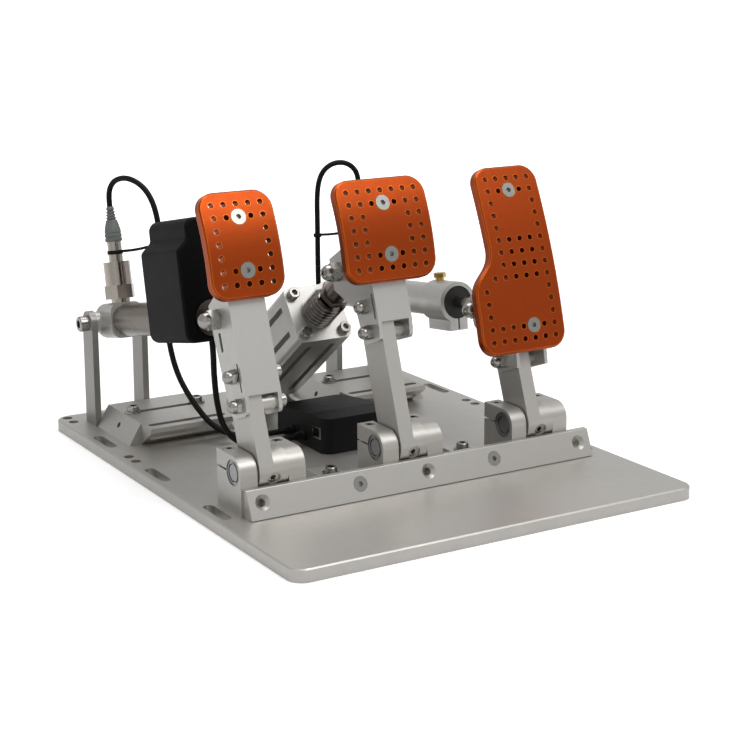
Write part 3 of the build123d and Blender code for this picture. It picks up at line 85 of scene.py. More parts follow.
# Each cable's name, route and CAD node, the body at its upper end, and the number, counted from 0, of
# the first point of its route that belongs with the plate rather than with that body.
LEADS = (
    ("clutch_sensor_lead", CLUTCH_ROUTE, "clutch_cable", "clutch_cylinder_body", 7),
    ("clutch_cover_lead", COVER_ROUTE, "cover_cable", "clutch_cylinder_body", 3),
    ("throttle_sensor_lead", THROTTLE_ROUTE, "throttle_cable", "throttle_cylinder_body", 7))
LINE_RESOLUTION = 14

# Outlines of plugs and glands are (height, radius) pairs, in metres, along the way that the cable leaves.
PLUGS = (("clutch", CLUTCH_ROUTE[0], (0, .19245, .98131)), ("throttle", THROTTLE_ROUTE[0], (0, .10871, .99407)))
PLUG_LENGTH = .030
PLUG_SEGMENTS = 44
PLUG_BODY = (
    (0, .0062), (.0004, .0070), (.0010, .0073), (.0028, .0073), (.0033, .0067), (.0038, .0067), (.0043, .0072),
    (.0064, .0072), (.0069, .0067), (.0074, .0067), (.0079, .0071), (.0100, .0069), (.0130, .0062), (.0160, .0054),
    (.0185, .0047))
PLUG_TIP = ((.0290, .0032), (.0297, .0029), (.0300, .0025))
# Each rib of the strain relief is slimmer than the one below; its outline is given from its own foot and radius.
RIB_COUNT = 4
RIB_FOOT = .0188
RIB_PITCH = .0025
RIB_RADIUS = .0044
RIB_TAPER = .0003
RIB_OUTLINE = ((0, -.0008), (.0006, -.0008), (.0009, 0), (.0019, -.0001))
GLAND_SEGMENTS = 32
GLANDS = (("clutch_gland", CLUTCH_ROUTE[-1], (-1, 0, 0)), ("cover_gland", COVER_ROUTE[-1], (-1, 0, 0)),
          ("throttle_gland", THROTTLE_ROUTE[-1], (0, 1, 0)))
GLAND_OUTLINE = (
    (0, .0046), (.0012, .0046), (.0016, .0040), (.0030, .0038), (.0036, .0033), (.0048, .0037), (.0054, .0031),
    (.0066, .0034), (.0072, .0029), (.0082, .0031), (.0088, .0026))

# Each tie's point on its cable's axis and its point on the axis of the sensor's neck.
TIES = (("clutch", (-.1083, .1296, .1737), (-.1287, .1795, .1606)),
        ("throttle", (.0729, .1867, .1553), (.1123, .1744, .1597)))
CABLE_BAND_AXIS, CABLE_BAND_RADIUS = (0, .04, 1), .0031
NECK_BAND_AXIS, NECK_BAND_RADIUS = (0, .15, .98), .0061
BAND_THICKNESS = .0014
# The bands' width and the straps' radius as shares of the tie's width.
BAND_SHARE, STRAP_SHARE = 1.3, .46
# How far the strap stays from the two axes, how far it sags, and how many points it has.
STRAP_FROM_CABLE, STRAP_FROM_NECK = .0030, .0060
STRAP_SAG = .0012
STRAP_POINTS = 13
STRAP_SEGMENTS = 12

# The disc springs' stack: its foot on the brake's rod, the way it rises, and its length at rest.
STACK_FOOT = (-.0074, .0429, .1188)
STACK_AXIS = (0., -.8068, .5908)
STACK_LENGTH = .030
# Radii of a disc: its bore, where its rim starts to round, and its rim.
DISC_BORE, DISC_SHOULDER, DISC_RIM = .0070, .0140, .0145
DISC_SEGMENTS = 56
# The share of the free height in a disc's pitch that its cone takes.
DISC_CONE = .9

# The camera's place, the way it looks and the way to the right of its picture, all fitted to the photograph.
CAMERA_PLACE = (-.6859, -1.1920, .4251)
CAMERA_FORWARD = (.4947, .8329, -.2479)
CAMERA_RIGHT = (.8598, -.5107, -.0077)
SENSOR_WIDTH = 36
VIEW_DEPTH = 20

# The angles, in degrees, from which an edge stays sharp under smooth shading: on all pieces, and on the discs.
SHARP_EDGE = 32
SHARP_DISC_EDGE = 40

# Each lamp's name, place, width of its square and power in watts. All of them face LAMP_TARGET.
LAMPS = (("key", (.7, -1.5, 2.3), 1.4, 29), ("fill", (-1.9, -1.4, 1.2), 1.4, 2), ("top", (.1, .4, 2.4), 1.6, 31))
LAMP_TARGET = (0, 0, .1)
FLOOR_REACH = 14
FLOOR_WHITE = .86
FLOOR_ROUGHNESS = .9
FLOOR_SHEEN = .1
# The floor's glow rises from its low to its full strength between these two distances from the middle.
GLOW_NEAR, GLOW_FAR = .35, 1.5
GLOW_LOW, GLOW_FULL = .40, 1.
# The world's white: the part that lights the set, and the part that is only seen.
WORLD_LIT, WORLD_SEEN = .27, .73
# How much of a white that is only seen shows in mirrors.
MIRRORED = .5

# Parts shown darker than the finish of their material slot, the darker colour being painted shade: the clutch tube
# and brake rod take the burnished tube, the rear posts a darker copy of the satin aluminium.
PAINTED_SHADE_PARTS = {"clutch_tube": "nickel_tube_with_painted_shade", "brake_rod": "nickel_tube_with_painted_shade", "rear_posts": "painted_shade_aluminium"}
# How bright the aluminium with painted shade on the rear posts is against the satin one.
PAINTED_SHADE_BRIGHTNESS = .62

# Noise of the shader groups: the product of noises taken as no mark and as a full mark, how much finer the marks'
# second noise is, how steeply an edge's mask rises with its turn, and the scale of the noise that breaks it up.
MARKS_LOW, MARKS_HIGH = .15, .42
MARKS_FINER = 6.
EDGE_GAIN = 7.
EDGE_NOISE = 420.
# How strongly the marks show in every finish, how far roughness spreads about its value, and the shares of that
# spread which grain and marks add.
MARKS_AMOUNT = .5
ROUGHNESS_SPREAD = .12
GRAIN_ROUGHNESS, MARK_ROUGHNESS = .6, .8
# How far grain and marks together take a colour towards its duller shade.
COLOUR_SHARE = .5
# How much brighter an edge without its own colour is.
EDGE_BRIGHTER = 1.25


class PedalSizes(bpy.types.PropertyGroup):
    """Sizes of the pieces that this file adds to the frame."""
    cable_diameter: bpy.props.FloatProperty(
        name="Cable diameter", description="Outside diameter of the sensor cables",
        default=.0048, min=.002, max=.008, unit="LENGTH")
    tie_width: bpy.props.FloatProperty(
        name="Tie width", description="Width of the cable ties' straps",
        default=.0026, min=.001, max=.006, unit="LENGTH")
    disc_count: bpy.props.IntProperty(
        name="Disc springs", description="Disc springs in the brake's stack",
        default=13, min=4, max=30)
    disc_thickness: bpy.props.FloatProperty(
        name="Disc thickness", description="Thickness of one disc spring",
        default=.0015, min=.0005, max=.003, unit="LENGTH")
    lens: bpy.props.FloatProperty(
        name="Camera lens", description="Focal length on a 36 mm wide sensor",
        default=83.3, min=20, max=200, subtype="DISTANCE_CAMERA")


class PedalColours(bpy.types.PropertyGroup):
    """Main colours of the set, linear."""
    anodised: bpy.props.FloatVectorProperty(
        name="Pads", description="Anodised face of the three pads",
        default=(.36, .050, .0040), size=3, min=0, max=1, subtype="COLOR")
    anodised_edge: bpy.props.FloatVectorProperty(
        name="Pad edges", description="Bright cut bevel round the pads",
        default=(.80, .20, .015), size=3, min=0, max=1, subtype="COLOR")
    satin: bpy.props.FloatVectorProperty(
        name="Plate and arms", description="Blasted and silver anodised plate, arms and feet",
        default=(.50, .484, .455), size=3, min=0, max=1, subtype="COLOR")
    bright: bpy.props.FloatVectorProperty(
        name="Brackets and caps", description="Lighter aluminium of brackets, caps and cylinder",
        default=(.53, .52, .495), size=3, min=0, max=1, subtype="COLOR")
    plastic: bpy.props.FloatVectorProperty(
        name="Covers", description="Black moulded cover and control box",
        default=(.006, .006, .0068), size=3, min=0, max=1, subtype="COLOR")


def grid_faces(rows, columns, first=0, wrap_rows=False):
    """Quads of a grid of rows by columns whose columns close on themselves, counted from vertex first."""
    last = rows if wrap_rows else rows - 1
    row, column = np.meshgrid(np.arange(last), np.arange(columns), indexing="ij")
    below = (row + 1) % rows
    beside = (column + 1) % columns
    quads = np.stack([row * columns + column, row * columns + beside,
                      below * columns + beside, below * columns + column], -1)
    return quads.reshape(-1, 4) + first


def new_piece(name, points, faces, material, sharp=SHARP_EDGE):
    """A mesh object at the origin from points and faces, smooth but for edges sharper than sharp degrees."""
    mesh = bpy.data.meshes.new(name)
    mesh.from_pydata(np.asarray(points).tolist(), [], [list(map(int, face)) for face in faces])
    mesh.update()
    mesh.shade_smooth()
    mesh.set_sharp_from_angle(angle=radians(sharp))
    mesh.materials.append(material)
    piece = bpy.data.objects.new(name, mesh)
    bpy.context.scene.collection.objects.link(piece)
    return piece


def across(direction):
    """Two unit vectors square to direction and to each other, so that u x v is direction."""
    w = np.asarray(direction, float)
    w = w / np.linalg.norm(w)
    start = np.array([1., 0., 0.]) if abs(w[0]) < .9 else np.array([0., 1., 0.])
    u = np.cross(w, start)
    u = u / np.linalg.norm(u)
    return u, np.cross(w, u), w


def circle(u, v, segments):
    """Unit vectors at even angles round a circle: u cos a + v sin a."""
    angle = np.arange(segments) * 2 * pi / segments
    return np.cos(angle)[:, None] * u + np.sin(angle)[:, None] * v


def closed_rows(rows, start_centre, end_centre):
    """Points and faces of a stack of rows of points, each row a closed loop, with one vertex closing each end."""
    count, segments = rows.shape[:2]
    start, end, last_row = count * segments, count * segments + 1, (count - 1) * segments
    faces = [tuple(face) for face in grid_faces(count, segments)]
    faces += [(start, (k + 1) % segments, k) for k in range(segments)]
    faces += [(end, last_row + k, last_row + (k + 1) % segments) for k in range(segments)]
    return np.vstack([rows.reshape(-1, 3), start_centre, end_centre]), faces


def turned(base, direction, profile, segments):
    """Points and faces of a turned solid: P(h, a) = base + h w + r(h)(u cos a + v sin a).
    The profile is (height, radius) pairs from one end to the other, and each end is closed by one vertex."""
    u, v, w = across(direction)
    base, profile = np.asarray(base), np.asarray(profile, float)
    rows = base + profile[:, None, :1] * w + profile[:, None, 1:] * circle(u, v, segments)[None]
    return closed_rows(rows, base + profile[0, 0] * w, base + profile[-1, 0] * w)


def carried_frames(path):
    """Tangents and two side vectors along a path: the side vector keeps its direction, less its
    part along each new tangent, so that the section never twists."""
    tangent = np.gradient(path, axis=0)
    tangent /= np.linalg.norm(tangent, axis=1)[:, None]
    side = np.empty_like(path)
    side[0] = across(tangent[0])[0]
    for k in range(1, len(path)):
        kept = side[k - 1] - tangent[k] * np.dot(side[k - 1], tangent[k])
        side[k] = kept / np.linalg.norm(kept)
    return tangent, side, np.cross(tangent, side)


def tube(path, radius, segments=16):
    """Points and faces of a round tube carried along a path: P(s, a) = C(s) + r (n cos a + b sin a),
    with n and b the side vectors at s. Each end is closed by one vertex."""
    tangent, side, third = carried_frames(path)
    angle = np.arange(segments) * 2 * pi / segments
    rows = path[:, None] + radius * (np.cos(angle)[None, :, None] * side[:, None]
                                     + np.sin(angle)[None, :, None] * third[:, None])
    return closed_rows(rows, path[0], path[-1])


def smooth_line(name, route):
    """The points of a NURBS line through the space of a route's control points."""
    curve = bpy.data.curves.new(name + "_line", "CURVE")
    curve.dimensions = "3D"
    curve.resolution_u = LINE_RESOLUTION
    spline = curve.splines.new("NURBS")
    spline.points.add(len(route) - 1)
    spline.points.foreach_set("co", np.hstack([np.array(route), np.ones((len(route), 1))]).ravel())
    spline.order_u = 3
    spline.use_endpoint_u = True
    holder = bpy.data.objects.new(name + "_line", curve)
    mesh = bpy.data.meshes.new_from_object(holder)
    points = np.empty(len(mesh.vertices) * 3)
    mesh.vertices.foreach_get("co", points)
    bpy.data.objects.remove(holder)
    bpy.data.curves.remove(curve)
    bpy.data.meshes.remove(mesh)
    return points.reshape(-1, 3)


def new_group(name, inputs, outputs):
    """An empty shader node group with named sockets; inputs are (name, type, default)."""
    tree = bpy.data.node_groups.new(name, "ShaderNodeTree")
    for label, kind, default in inputs:
        socket = tree.interface.new_socket(label, in_out="INPUT", socket_type=kind)
        socket.default_value = default
    for label, kind in outputs:
        tree.interface.new_socket(label, in_out="OUTPUT", socket_type=kind)
    return tree, tree.nodes.new("NodeGroupInput"), tree.nodes.new("NodeGroupOutput")


def add_node(tree, kind, settings=(), **inputs):
    """A node with its settings and inputs, which are named or, as i0, i1 and so on, numbered. An input
    given as a socket is linked, any other is a value."""
    node = tree.nodes.new(kind)
    for key, value in dict(settings).items():
        setattr(node, key, value)
    for key, value in inputs.items():
        socket = node.inputs[int(key[1:])] if key[0] == "i" and key[1:].isdigit() else node.inputs[key]
        if isinstance(value, bpy.types.NodeSocket):
            tree.links.new(value, socket)
        else:
            socket.default_value = value
    return node


def maths(tree, operation, first, second=0., clamp=False):
    """The output of a Math node."""
    return add_node(tree, "ShaderNodeMath", {"operation": operation, "use_clamp": clamp},
                    i0=first, i1=second).outputs[0]


def grain_group():
    """Fine grain: noise on Object coordinates stretched along each axis, as a value round one half."""
    tree, given, out = new_group("Surface grain", [
        ("Scale", "NodeSocketFloat", 900.), ("Stretch", "NodeSocketVector", (1., 1., 1.)),
        ("Detail", "NodeSocketFloat", 3.)], [("Value", "NodeSocketFloat")])
    place = tree.nodes.new("ShaderNodeTexCoord").outputs["Object"]
    stretched = add_node(tree, "ShaderNodeVectorMath", {"operation": "MULTIPLY"},
                         i0=place, i1=given.outputs["Stretch"]).outputs[0]
    noise = add_node(tree, "ShaderNodeTexNoise", Vector=stretched, Scale=given.outputs["Scale"],
                     Detail=given.outputs["Detail"], Roughness=.6)
    tree.links.new(noise.outputs["Fac"], out.inputs["Value"])
    return tree


def marks_group():
    """Handling marks: two sizes of soft noise multiplied, as a mask of slightly duller patches."""
    tree, given, out = new_group("Handling marks", [
        ("Scale", "NodeSocketFloat", 18.), ("Amount", "NodeSocketFloat", .5)], [("Mask", "NodeSocketFloat")])
    place = tree.nodes.new("ShaderNodeTexCoord").outputs["Object"]
    broad = add_node(tree, "ShaderNodeTexNoise", Vector=place, Scale=given.outputs["Scale"], Detail=4.)
    fine = add_node(tree, "ShaderNodeTexNoise", Vector=place,
                    Scale=maths(tree, "MULTIPLY", given.outputs["Scale"], MARKS_FINER), Detail=3.)
    both = maths(tree, "MULTIPLY", broad.outputs["Fac"], fine.outputs["Fac"])
    spread = add_node(tree, "ShaderNodeMapRange", i0=both, i1=MARKS_LOW, i2=MARKS_HIGH, i3=0., i4=1.)
    tree.links.new(maths(tree, "MULTIPLY", spread.outputs[0], given.outputs["Amount"]), out.inputs["Mask"])
    return tree


def edge_group():
    """Edge mask: one less the cosine between the true normal and the normal of a small bevel,
    broken up by noise, so that it is 1 on cut or rubbed edges and 0 on flats."""
    tree, given, out = new_group("Edge wear", [
        ("Width", "NodeSocketFloat", .0006), ("Amount", "NodeSocketFloat", 1.),
        ("Breakup", "NodeSocketFloat", .5)], [("Mask", "NodeSocketFloat")])
    bevel = add_node(tree, "ShaderNodeBevel", {"samples": 4}, Radius=given.outputs["Width"])
    normal = tree.nodes.new("ShaderNodeNewGeometry").outputs["Normal"]
    dot = add_node(tree, "ShaderNodeVectorMath", {"operation": "DOT_PRODUCT"},
                   i0=bevel.outputs[0], i1=normal).outputs["Value"]
    turn = maths(tree, "MULTIPLY", maths(tree, "SUBTRACT", 1., dot), EDGE_GAIN, True)
    place = tree.nodes.new("ShaderNodeTexCoord").outputs["Object"]
    noise = add_node(tree, "ShaderNodeTexNoise", Vector=place, Scale=EDGE_NOISE, Detail=3.)
    uneven = maths(tree, "SUBTRACT", 1., maths(tree, "MULTIPLY", noise.outputs["Fac"], given.outputs["Breakup"]))
    mask = maths(tree, "MULTIPLY", maths(tree, "MULTIPLY", turn, uneven), given.outputs["Amount"], True)
    tree.links.new(mask, out.inputs["Mask"])
    return tree


def place_group(tree, name, **inputs):
    """One of the shared groups placed in a material, with its values; _ stands for a space."""
    maker = {"Surface grain": grain_group, "Handling marks": marks_group, "Edge wear": edge_group}[name]
    group = bpy.data.node_groups.get(name) or maker()
    node = tree.nodes.new("ShaderNodeGroup")
    node.node_tree = group
    for key, value in inputs.items():
        node.inputs[key.replace("_", " ")].default_value = value
    return node.outputs[0]


def finish(name, colour, edge=None, dull=.86, metallic=0., roughness=.4, specular=.5, scale=900.,
           stretch=(1, 1, 1), bump=.12, depth=.00012, width=.0005, wear=.6, breakup=.6):
    """A procedural finish: grain and marks move its colour and roughness, grain lifts a bump, and edges
    show their own colour or, without one, a brighter shade."""
    material = bpy.data.materials.get(name)
    if material:
        return material
    material = bpy.data.materials.new(name)
    material.use_nodes = True
    material.diffuse_color = (*colour, 1)
    tree = material.node_tree
    shader = tree.nodes["Principled BSDF"]
    shader.inputs["Metallic"].default_value = metallic
    shader.inputs["Specular IOR Level"].default_value = specular
    grain = place_group(tree, "Surface grain", Scale=scale, Stretch=stretch)
    mark = place_group(tree, "Handling marks", Amount=MARKS_AMOUNT)
    worn = place_group(tree, "Edge wear", Width=width, Amount=wear, Breakup=breakup)
    darker = tuple(part * dull for part in colour)
    edge = edge or tuple(min(1., part * EDGE_BRIGHTER) for part in colour)
    mixed = add_node(tree, "ShaderNodeMix", {"data_type": "RGBA"},
                     i0=maths(tree, "MULTIPLY", maths(tree, "ADD", grain, mark), COLOUR_SHARE, True),
                     i6=(*colour, 1), i7=(*darker, 1)).outputs[2]
    edged = add_node(tree, "ShaderNodeMix", {"data_type": "RGBA"}, i0=worn, i6=mixed,
                     i7=(*edge, 1)).outputs[2]
    tree.links.new(edged, shader.inputs["Base Color"])
    uneven = maths(tree, "ADD", maths(tree, "MULTIPLY", grain, GRAIN_ROUGHNESS),
                   maths(tree, "MULTIPLY", mark, MARK_ROUGHNESS))
    rough = maths(tree, "ADD", roughness - ROUGHNESS_SPREAD / 2,
                  maths(tree, "MULTIPLY", uneven, ROUGHNESS_SPREAD), True)
    tree.links.new(rough, shader.inputs["Roughness"])
    lift = add_node(tree, "ShaderNodeBump", Strength=bump, Distance=depth, Height=grain)
    tree.links.new(lift.outputs[0], shader.inputs["Normal"])
    return material


def make_finishes():
    """Every finish of the set by the record's material slot, and the two darker ones, whose darker colour is
    painted shade.
    """
    tone = bpy.context.scene.pedal_colours
    return {
        "satin_aluminium": finish("Satin aluminium", tuple(tone.satin), metallic=.72, roughness=.42,
                                  scale=1500., bump=.16, depth=.00008, wear=.45),
        # A darker copy of the satin aluminium: painted shade on the rear posts.
        "painted_shade_aluminium": finish("Aluminium with painted shade", tuple(PAINTED_SHADE_BRIGHTNESS * part for part in tone.satin), metallic=.72,
                                   roughness=.42, scale=1500., bump=.16, depth=.00008, wear=.45),
        "bright_aluminium": finish("Bright aluminium", tuple(tone.bright), metallic=.7, roughness=.38,
                                   scale=1300., bump=.12, depth=.00006, wear=.5),
        "orange_anodised": finish("Orange anodised aluminium", tuple(tone.anodised),
                                  edge=tuple(tone.anodised_edge), dull=.72, metallic=.85, roughness=.38,
                                  scale=1600., bump=.1, depth=.00006, width=.0011, wear=1., breakup=.12),
        "stainless_screws": finish("Stainless screws", (.34, .33, .31), metallic=1., roughness=.27,
                                   scale=700., bump=.08, depth=.00005, wear=.5),
        "bearing_steel": finish("Ground steel", (.33, .33, .33), metallic=1., roughness=.3,
                                scale=900., stretch=(.1, 1, 1), bump=.1, depth=.00005),
        "spring_steel": finish("Polished spring steel", (.20, .19, .18), metallic=1., roughness=.12,
                               scale=600., bump=.05, depth=.00004, wear=.7),
        "nickel": finish("Nickel plate", (.40, .365, .325), metallic=1., roughness=.2,
                         scale=500., bump=.05, depth=.00004, wear=.4),
        # Darker than the nickel plate: its own stretched grain and roughness, with painted shade in its colour on
        # the clutch tube and the brake rod.
        "nickel_tube_with_painted_shade": finish("Burnished tube with painted shade", (.165, .142, .118), metallic=1., roughness=.3,
                              scale=800., stretch=(1, .12, 1), bump=.08, depth=.00005, wear=.4),
        "brass": finish("Turned brass", (.60, .42, .13), metallic=1., roughness=.26,
                        scale=700., bump=.08, depth=.00005),
        "black_cover": finish("Satin black cover", tuple(tone.plastic), edge=(.02, .02, .022), dull=.8,
                              specular=.06, roughness=.5, scale=800., bump=.18, depth=.00015, width=.0012,
                              wear=.5),
        "box_plastic": finish("Moulded control box", tuple(tone.plastic), edge=(.03, .03, .032), dull=.8,
                              specular=.2, roughness=.55, scale=1100., bump=.3, depth=.0002, wear=.5),
        "grey_plug": finish("Grey plug moulding", (.17, .185, .17), dull=.8, roughness=.5,
                            scale=900., bump=.2, depth=.0001, wear=.3),
        "bush_rubber": finish("Bush rubber", (.012, .012, .012), edge=(.03, .03, .03), roughness=.6,
                              scale=700., bump=.3, depth=.0002),
        "cable_rubber": finish("Cable jacket", (.005, .005, .0056), edge=(.01, .01, .01), specular=.12,
                               roughness=.5, scale=900., bump=.15, depth=.0001, wear=0.),
    }


class PEDALS_OT_camera(bpy.types.Operator):
    """Stand the camera where the photograph was taken from."""
    bl_idname = "pedals.camera"
    bl_label = "Camera"

    def execute(self, context):
        forward = Vector(CAMERA_FORWARD).normalized()
        right = Vector(CAMERA_RIGHT)
        right = (right - forward * right.dot(forward)).normalized()
        up = right.cross(forward)
        data = bpy.data.cameras.new("Camera")
        data.sensor_width = SENSOR_WIDTH
        data.lens = context.scene.pedal_sizes.lens
        data.clip_end = VIEW_DEPTH
        camera = bpy.data.objects.new("Camera", data)
        turn = Matrix((right, up, -forward)).transposed().to_4x4()
        camera.matrix_world = Matrix.Translation(CAMERA_PLACE) @ turn
        context.scene.collection.objects.link(camera)
        context.scene.camera = camera
        return {"FINISHED"}


def make_cable(name, route, node, body, still):
    """A jacketed cable on the smooth line of its route. The arguments body and still are not used."""
    diameter = bpy.context.scene.pedal_sizes.cable_diameter
    line = smooth_line(name, route)
    points, faces = tube(line, diameter / 2)
    cable = new_piece(name, points, faces, make_finishes()["cable_rubber"])
    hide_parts(node)
    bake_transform(cable)


class PEDALS_OT_cables(bpy.types.Operator):
    """Hang the sensor cables from their plugs and the cover down to the control box."""
    bl_idname = "pedals.cables"
    bl_label = "Cables"

    def execute(self, context):
        for lead in LEADS:
            make_cable(*lead)
        return {"FINISHED"}


def plug_outline():
    """A plug's outline: its body, the ribs of its strain relief and its tip."""
    ribs = [(RIB_FOOT + rib * RIB_PITCH + rise, RIB_RADIUS - rib * RIB_TAPER + change)
            for rib in range(RIB_COUNT) for rise, change in RIB_OUTLINE]
    return [*PLUG_BODY, *ribs, *PLUG_TIP]


class PEDALS_OT_plugs(bpy.types.Operator):
    """Mould the two sensor plugs with their ribbed strain reliefs, and the cable glands of the control box."""
    bl_idname = "pedals.plugs"
    bl_label = "Plugs and glands"

    def execute(self, context):
        grey = make_finishes()["grey_plug"]
        for name, tip, axis in PLUGS:
            base = np.array(tip) - PLUG_LENGTH * np.array(axis)
            plug = new_piece(name + "_plug", *turned(base, axis, plug_outline(), PLUG_SEGMENTS), grey)
            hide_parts(name + "_connector")
            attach(plug, name + "_cylinder_body")
        rubber = make_finishes()["cable_rubber"]
        for name, exit_point, axis in GLANDS:
            gland = new_piece(name, *turned(exit_point, axis, GLAND_OUTLINE, GLAND_SEGMENTS), rubber)
            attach(gland, "root")
        return {"FINISHED"}


def ring(centre, axis, radius, band, width, segments=36, around=12):
    """Points and faces of a rounded band round a post: P(a, b) = c + (R + t cos b)(u cos a + v sin a)
    + h sin b w, with t half the band's thickness and h half its width."""
    u, v, w = across(axis)
    b = np.arange(around)[None, :, None] * 2 * pi / around
    points = np.asarray(centre) + (radius + band / 2 * np.cos(b)) * circle(u, v, segments)[:, None]
    points = points + width / 2 * np.sin(b) * w
    faces = [tuple(face) for face in grid_faces(segments, around, wrap_rows=True)]
    return points.reshape(-1, 3), faces


def joined(*shells):
    """Several shells' points and faces as one list of each."""
    points, faces, count = [], [], 0
    for some, their in shells:
        points.append(np.asarray(some))
        faces += [tuple(int(index) + count for index in face) for face in their]
        count += len(some)
    return np.vstack(points), faces


class PEDALS_OT_ties(bpy.types.Operator):
    """Link each sensor's neck to its cable: a band round each and a thin strap between."""
    bl_idname = "pedals.ties"
    bl_label = "Cable ties"

    def execute(self, context):
        black = make_finishes()["cable_rubber"]
        width = context.scene.pedal_sizes.tie_width
        for name, cable, neck in TIES:
            cable, neck = np.array(cable), np.array(neck)
            span = (neck - cable) / np.linalg.norm(neck - cable)
            step = np.linspace(0, 1, STRAP_POINTS)[:, None]
            line = (cable + STRAP_FROM_CABLE * span) * (1 - step) + (neck - STRAP_FROM_NECK * span) * step
            line[:, 2] -= STRAP_SAG * np.sin(pi * step[:, 0])
            band = BAND_THICKNESS, width * BAND_SHARE
            points, faces = joined(ring(cable, CABLE_BAND_AXIS, CABLE_BAND_RADIUS, *band),
                                   ring(neck, NECK_BAND_AXIS, NECK_BAND_RADIUS, *band),
                                   tube(line, width * STRAP_SHARE, STRAP_SEGMENTS))
            tie = new_piece(name + "_tie", points, faces, black)
            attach(tie, name + "_cylinder_body")
        return {"FINISHED"}


class PEDALS_OT_springs(bpy.types.Operator):
    """Stack the brake's disc springs on the rod in front of the cylinder."""
    bl_idname = "pedals.springs"
    bl_label = "Disc springs"

    def execute(self, context):
        size = context.scene.pedal_sizes
        away, base = np.array(STACK_AXIS), np.array(STACK_FOOT)
        u, v, w = across(away)
        count, segments = size.disc_count, DISC_SEGMENTS
        pitch = STACK_LENGTH / count
        half = size.disc_thickness / 2
        cone = (pitch - size.disc_thickness) * DISC_CONE
        middle, half_width = (DISC_BORE + DISC_RIM) / 2, (DISC_RIM - DISC_BORE) / 2
        section = np.array([(DISC_BORE, -half), (DISC_SHOULDER, -half), (DISC_RIM, -half / 2),
                            (DISC_RIM, half / 2), (DISC_SHOULDER, half), (DISC_BORE, half)])
        points, faces = [], []
        for disc in range(count):
            rise = cone / 2 * (1 if disc % 2 else -1)
            height = (disc + .5) * pitch + section[:, 1] + rise * (section[:, 0] - middle) / half_width
            rows = base + height[:, None, None] * w + section[:, 0][:, None, None] * circle(u, v, segments)
            faces += [tuple(face[::-1]) for face in
                      grid_faces(len(section), segments, len(points) * len(section) * segments, True)]
            points.append(rows.reshape(-1, 3))
        stack = new_piece("disc_stack", np.vstack(points), faces, make_finishes()["spring_steel"],
                          SHARP_DISC_EDGE)
        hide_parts("disc_springs")
        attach(stack, "brake_cylinder_body")
        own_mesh(stack)
        return {"FINISHED"}


class PEDALS_OT_finishes(bpy.types.Operator):
    """Give every part of the frame the finish of its material slot, or its darker one, whose darker colour is
    painted shade.
    """
    bl_idname = "pedals.finishes"
    bl_label = "Finishes"

    def execute(self, context):
        finishes = make_finishes()
        for part in frame["record"]["subparts"]:
            node = frame["nodes"][part["node"]]
            # A darker finish here is painted shade on that part.
            material = finishes[PAINTED_SHADE_PARTS.get(part["node"], part["material_slot"])]
            if not node.material_slots:
                node.data.materials.append(material)
            for place in node.material_slots:
                place.material = material
        return {"FINISHED"}


def seen_white(tree, strength):
    """A strength of white that the camera sees in full and mirrors see in part, and that lights nothing."""
    path = tree.nodes.new("ShaderNodeLightPath")
    seen = maths(tree, "MAXIMUM", path.outputs["Is Camera Ray"],
                 maths(tree, "MULTIPLY", path.outputs["Is Glossy Ray"], MIRRORED))
    return maths(tree, "MULTIPLY", seen, strength)


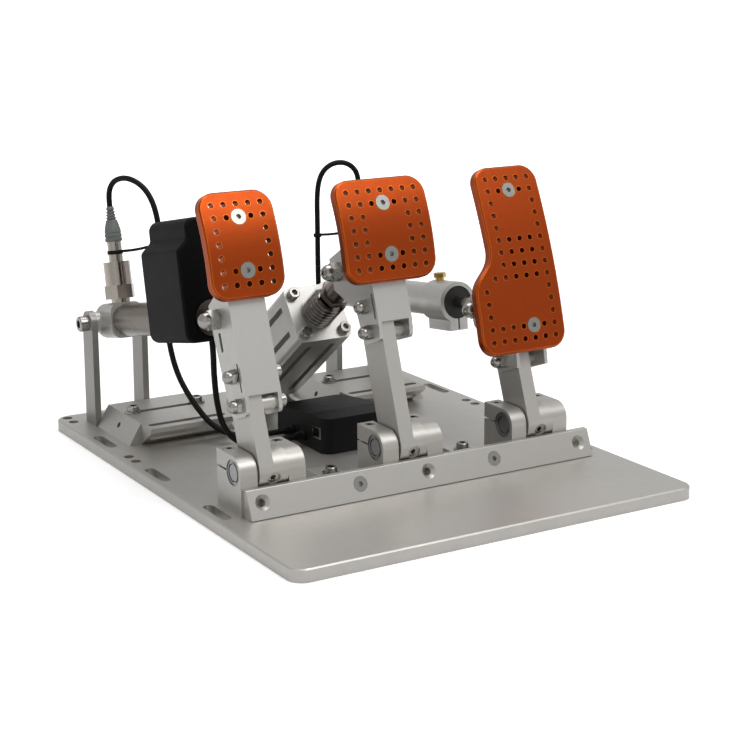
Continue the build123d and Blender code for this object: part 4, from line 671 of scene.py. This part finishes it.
class PEDALS_OT_stage(bpy.types.Operator):
    """Lay the pale floor and hang the soft lamps."""
    bl_idname = "pedals.stage"
    bl_label = "Stage"

    def execute(self, context):
        floor_mesh = bpy.data.meshes.new("floor")
        corners = [(x * FLOOR_REACH, y * FLOOR_REACH, 0) for x, y in ((-1, -1), (1, -1), (1, 1), (-1, 1))]
        floor_mesh.from_pydata(corners, [], [(0, 1, 2, 3)])
        floor = bpy.data.objects.new("floor", floor_mesh)
        context.scene.collection.objects.link(floor)
        pale = bpy.data.materials.new("Pale floor")
        pale.use_nodes = True
        tree = pale.node_tree
        shader = tree.nodes["Principled BSDF"]
        shader.inputs["Base Color"].default_value = (*(FLOOR_WHITE,) * 3, 1)
        shader.inputs["Roughness"].default_value = FLOOR_ROUGHNESS
        shader.inputs["Specular IOR Level"].default_value = FLOOR_SHEEN
        place = tree.nodes.new("ShaderNodeTexCoord").outputs["Object"]
        reach = add_node(tree, "ShaderNodeVectorMath", {"operation": "LENGTH"}, i0=place).outputs["Value"]
        far = add_node(tree, "ShaderNodeMapRange", {"interpolation_type": "SMOOTHSTEP"},
                       i0=reach, i1=GLOW_NEAR, i2=GLOW_FAR, i3=GLOW_LOW, i4=GLOW_FULL)
        glow = add_node(tree, "ShaderNodeEmission", Color=(1, 1, 1, 1), Strength=seen_white(tree, far.outputs[0]))
        both = tree.nodes.new("ShaderNodeAddShader")
        tree.links.new(shader.outputs[0], both.inputs[0])
        tree.links.new(glow.outputs[0], both.inputs[1])
        tree.links.new(both.outputs[0], tree.nodes["Material Output"].inputs["Surface"])
        floor_mesh.materials.append(pale)
        world = bpy.data.worlds.new("Studio")
        world.use_nodes = True
        context.scene.world = world
        tree = world.node_tree
        back = tree.nodes["Background"]
        back.inputs["Color"].default_value = (1, 1, 1, 1)
        tree.links.new(maths(tree, "ADD", seen_white(tree, WORLD_SEEN), WORLD_LIT), back.inputs["Strength"])
        for name, place, size, power in LAMPS:
            data = bpy.data.lights.new(name, "AREA")
            data.shape = "SQUARE"
            data.size = size
            data.energy = power
            lamp = bpy.data.objects.new(name, data)
            lamp.location = place
            lamp.rotation_euler = (Vector(LAMP_TARGET) - Vector(place)).to_track_quat("-Z", "Y").to_euler()
            context.scene.collection.objects.link(lamp)
        context.scene.view_settings.view_transform = "Standard"
        return {"FINISHED"}


STEPS = (PEDALS_OT_camera, PEDALS_OT_cables, PEDALS_OT_plugs, PEDALS_OT_ties, PEDALS_OT_springs,
         PEDALS_OT_finishes, PEDALS_OT_stage)


class PEDALS_PT_panel(bpy.types.Panel):
    """The pedal set's sizes, colours and steps."""
    bl_label = "Pedal set"
    bl_idname = "PEDALS_PT_panel"
    bl_space_type = "VIEW_3D"
    bl_region_type = "UI"
    bl_category = "Pedals"

    def draw(self, context):
        for group in (context.scene.pedal_sizes, context.scene.pedal_colours):
            for name in group.__annotations__:
                self.layout.prop(group, name)
        for step in STEPS:
            self.layout.operator(step.bl_idname)


CLASSES = (PedalSizes, PedalColours, *STEPS, PEDALS_PT_panel)


def register():
    for kind in CLASSES:
        bpy.utils.register_class(kind)
    bpy.types.Scene.pedal_sizes = bpy.props.PointerProperty(type=PedalSizes)
    bpy.types.Scene.pedal_colours = bpy.props.PointerProperty(type=PedalColours)


def unregister():
    del bpy.types.Scene.pedal_colours
    del bpy.types.Scene.pedal_sizes
    for kind in reversed(CLASSES):
        bpy.utils.unregister_class(kind)


def main():
    """Run every step in order."""
    register()
    for step in STEPS:
        area, name = step.bl_idname.split(".")
        getattr(getattr(bpy.ops, area), name)()


if __name__ == "__main__":
    main()
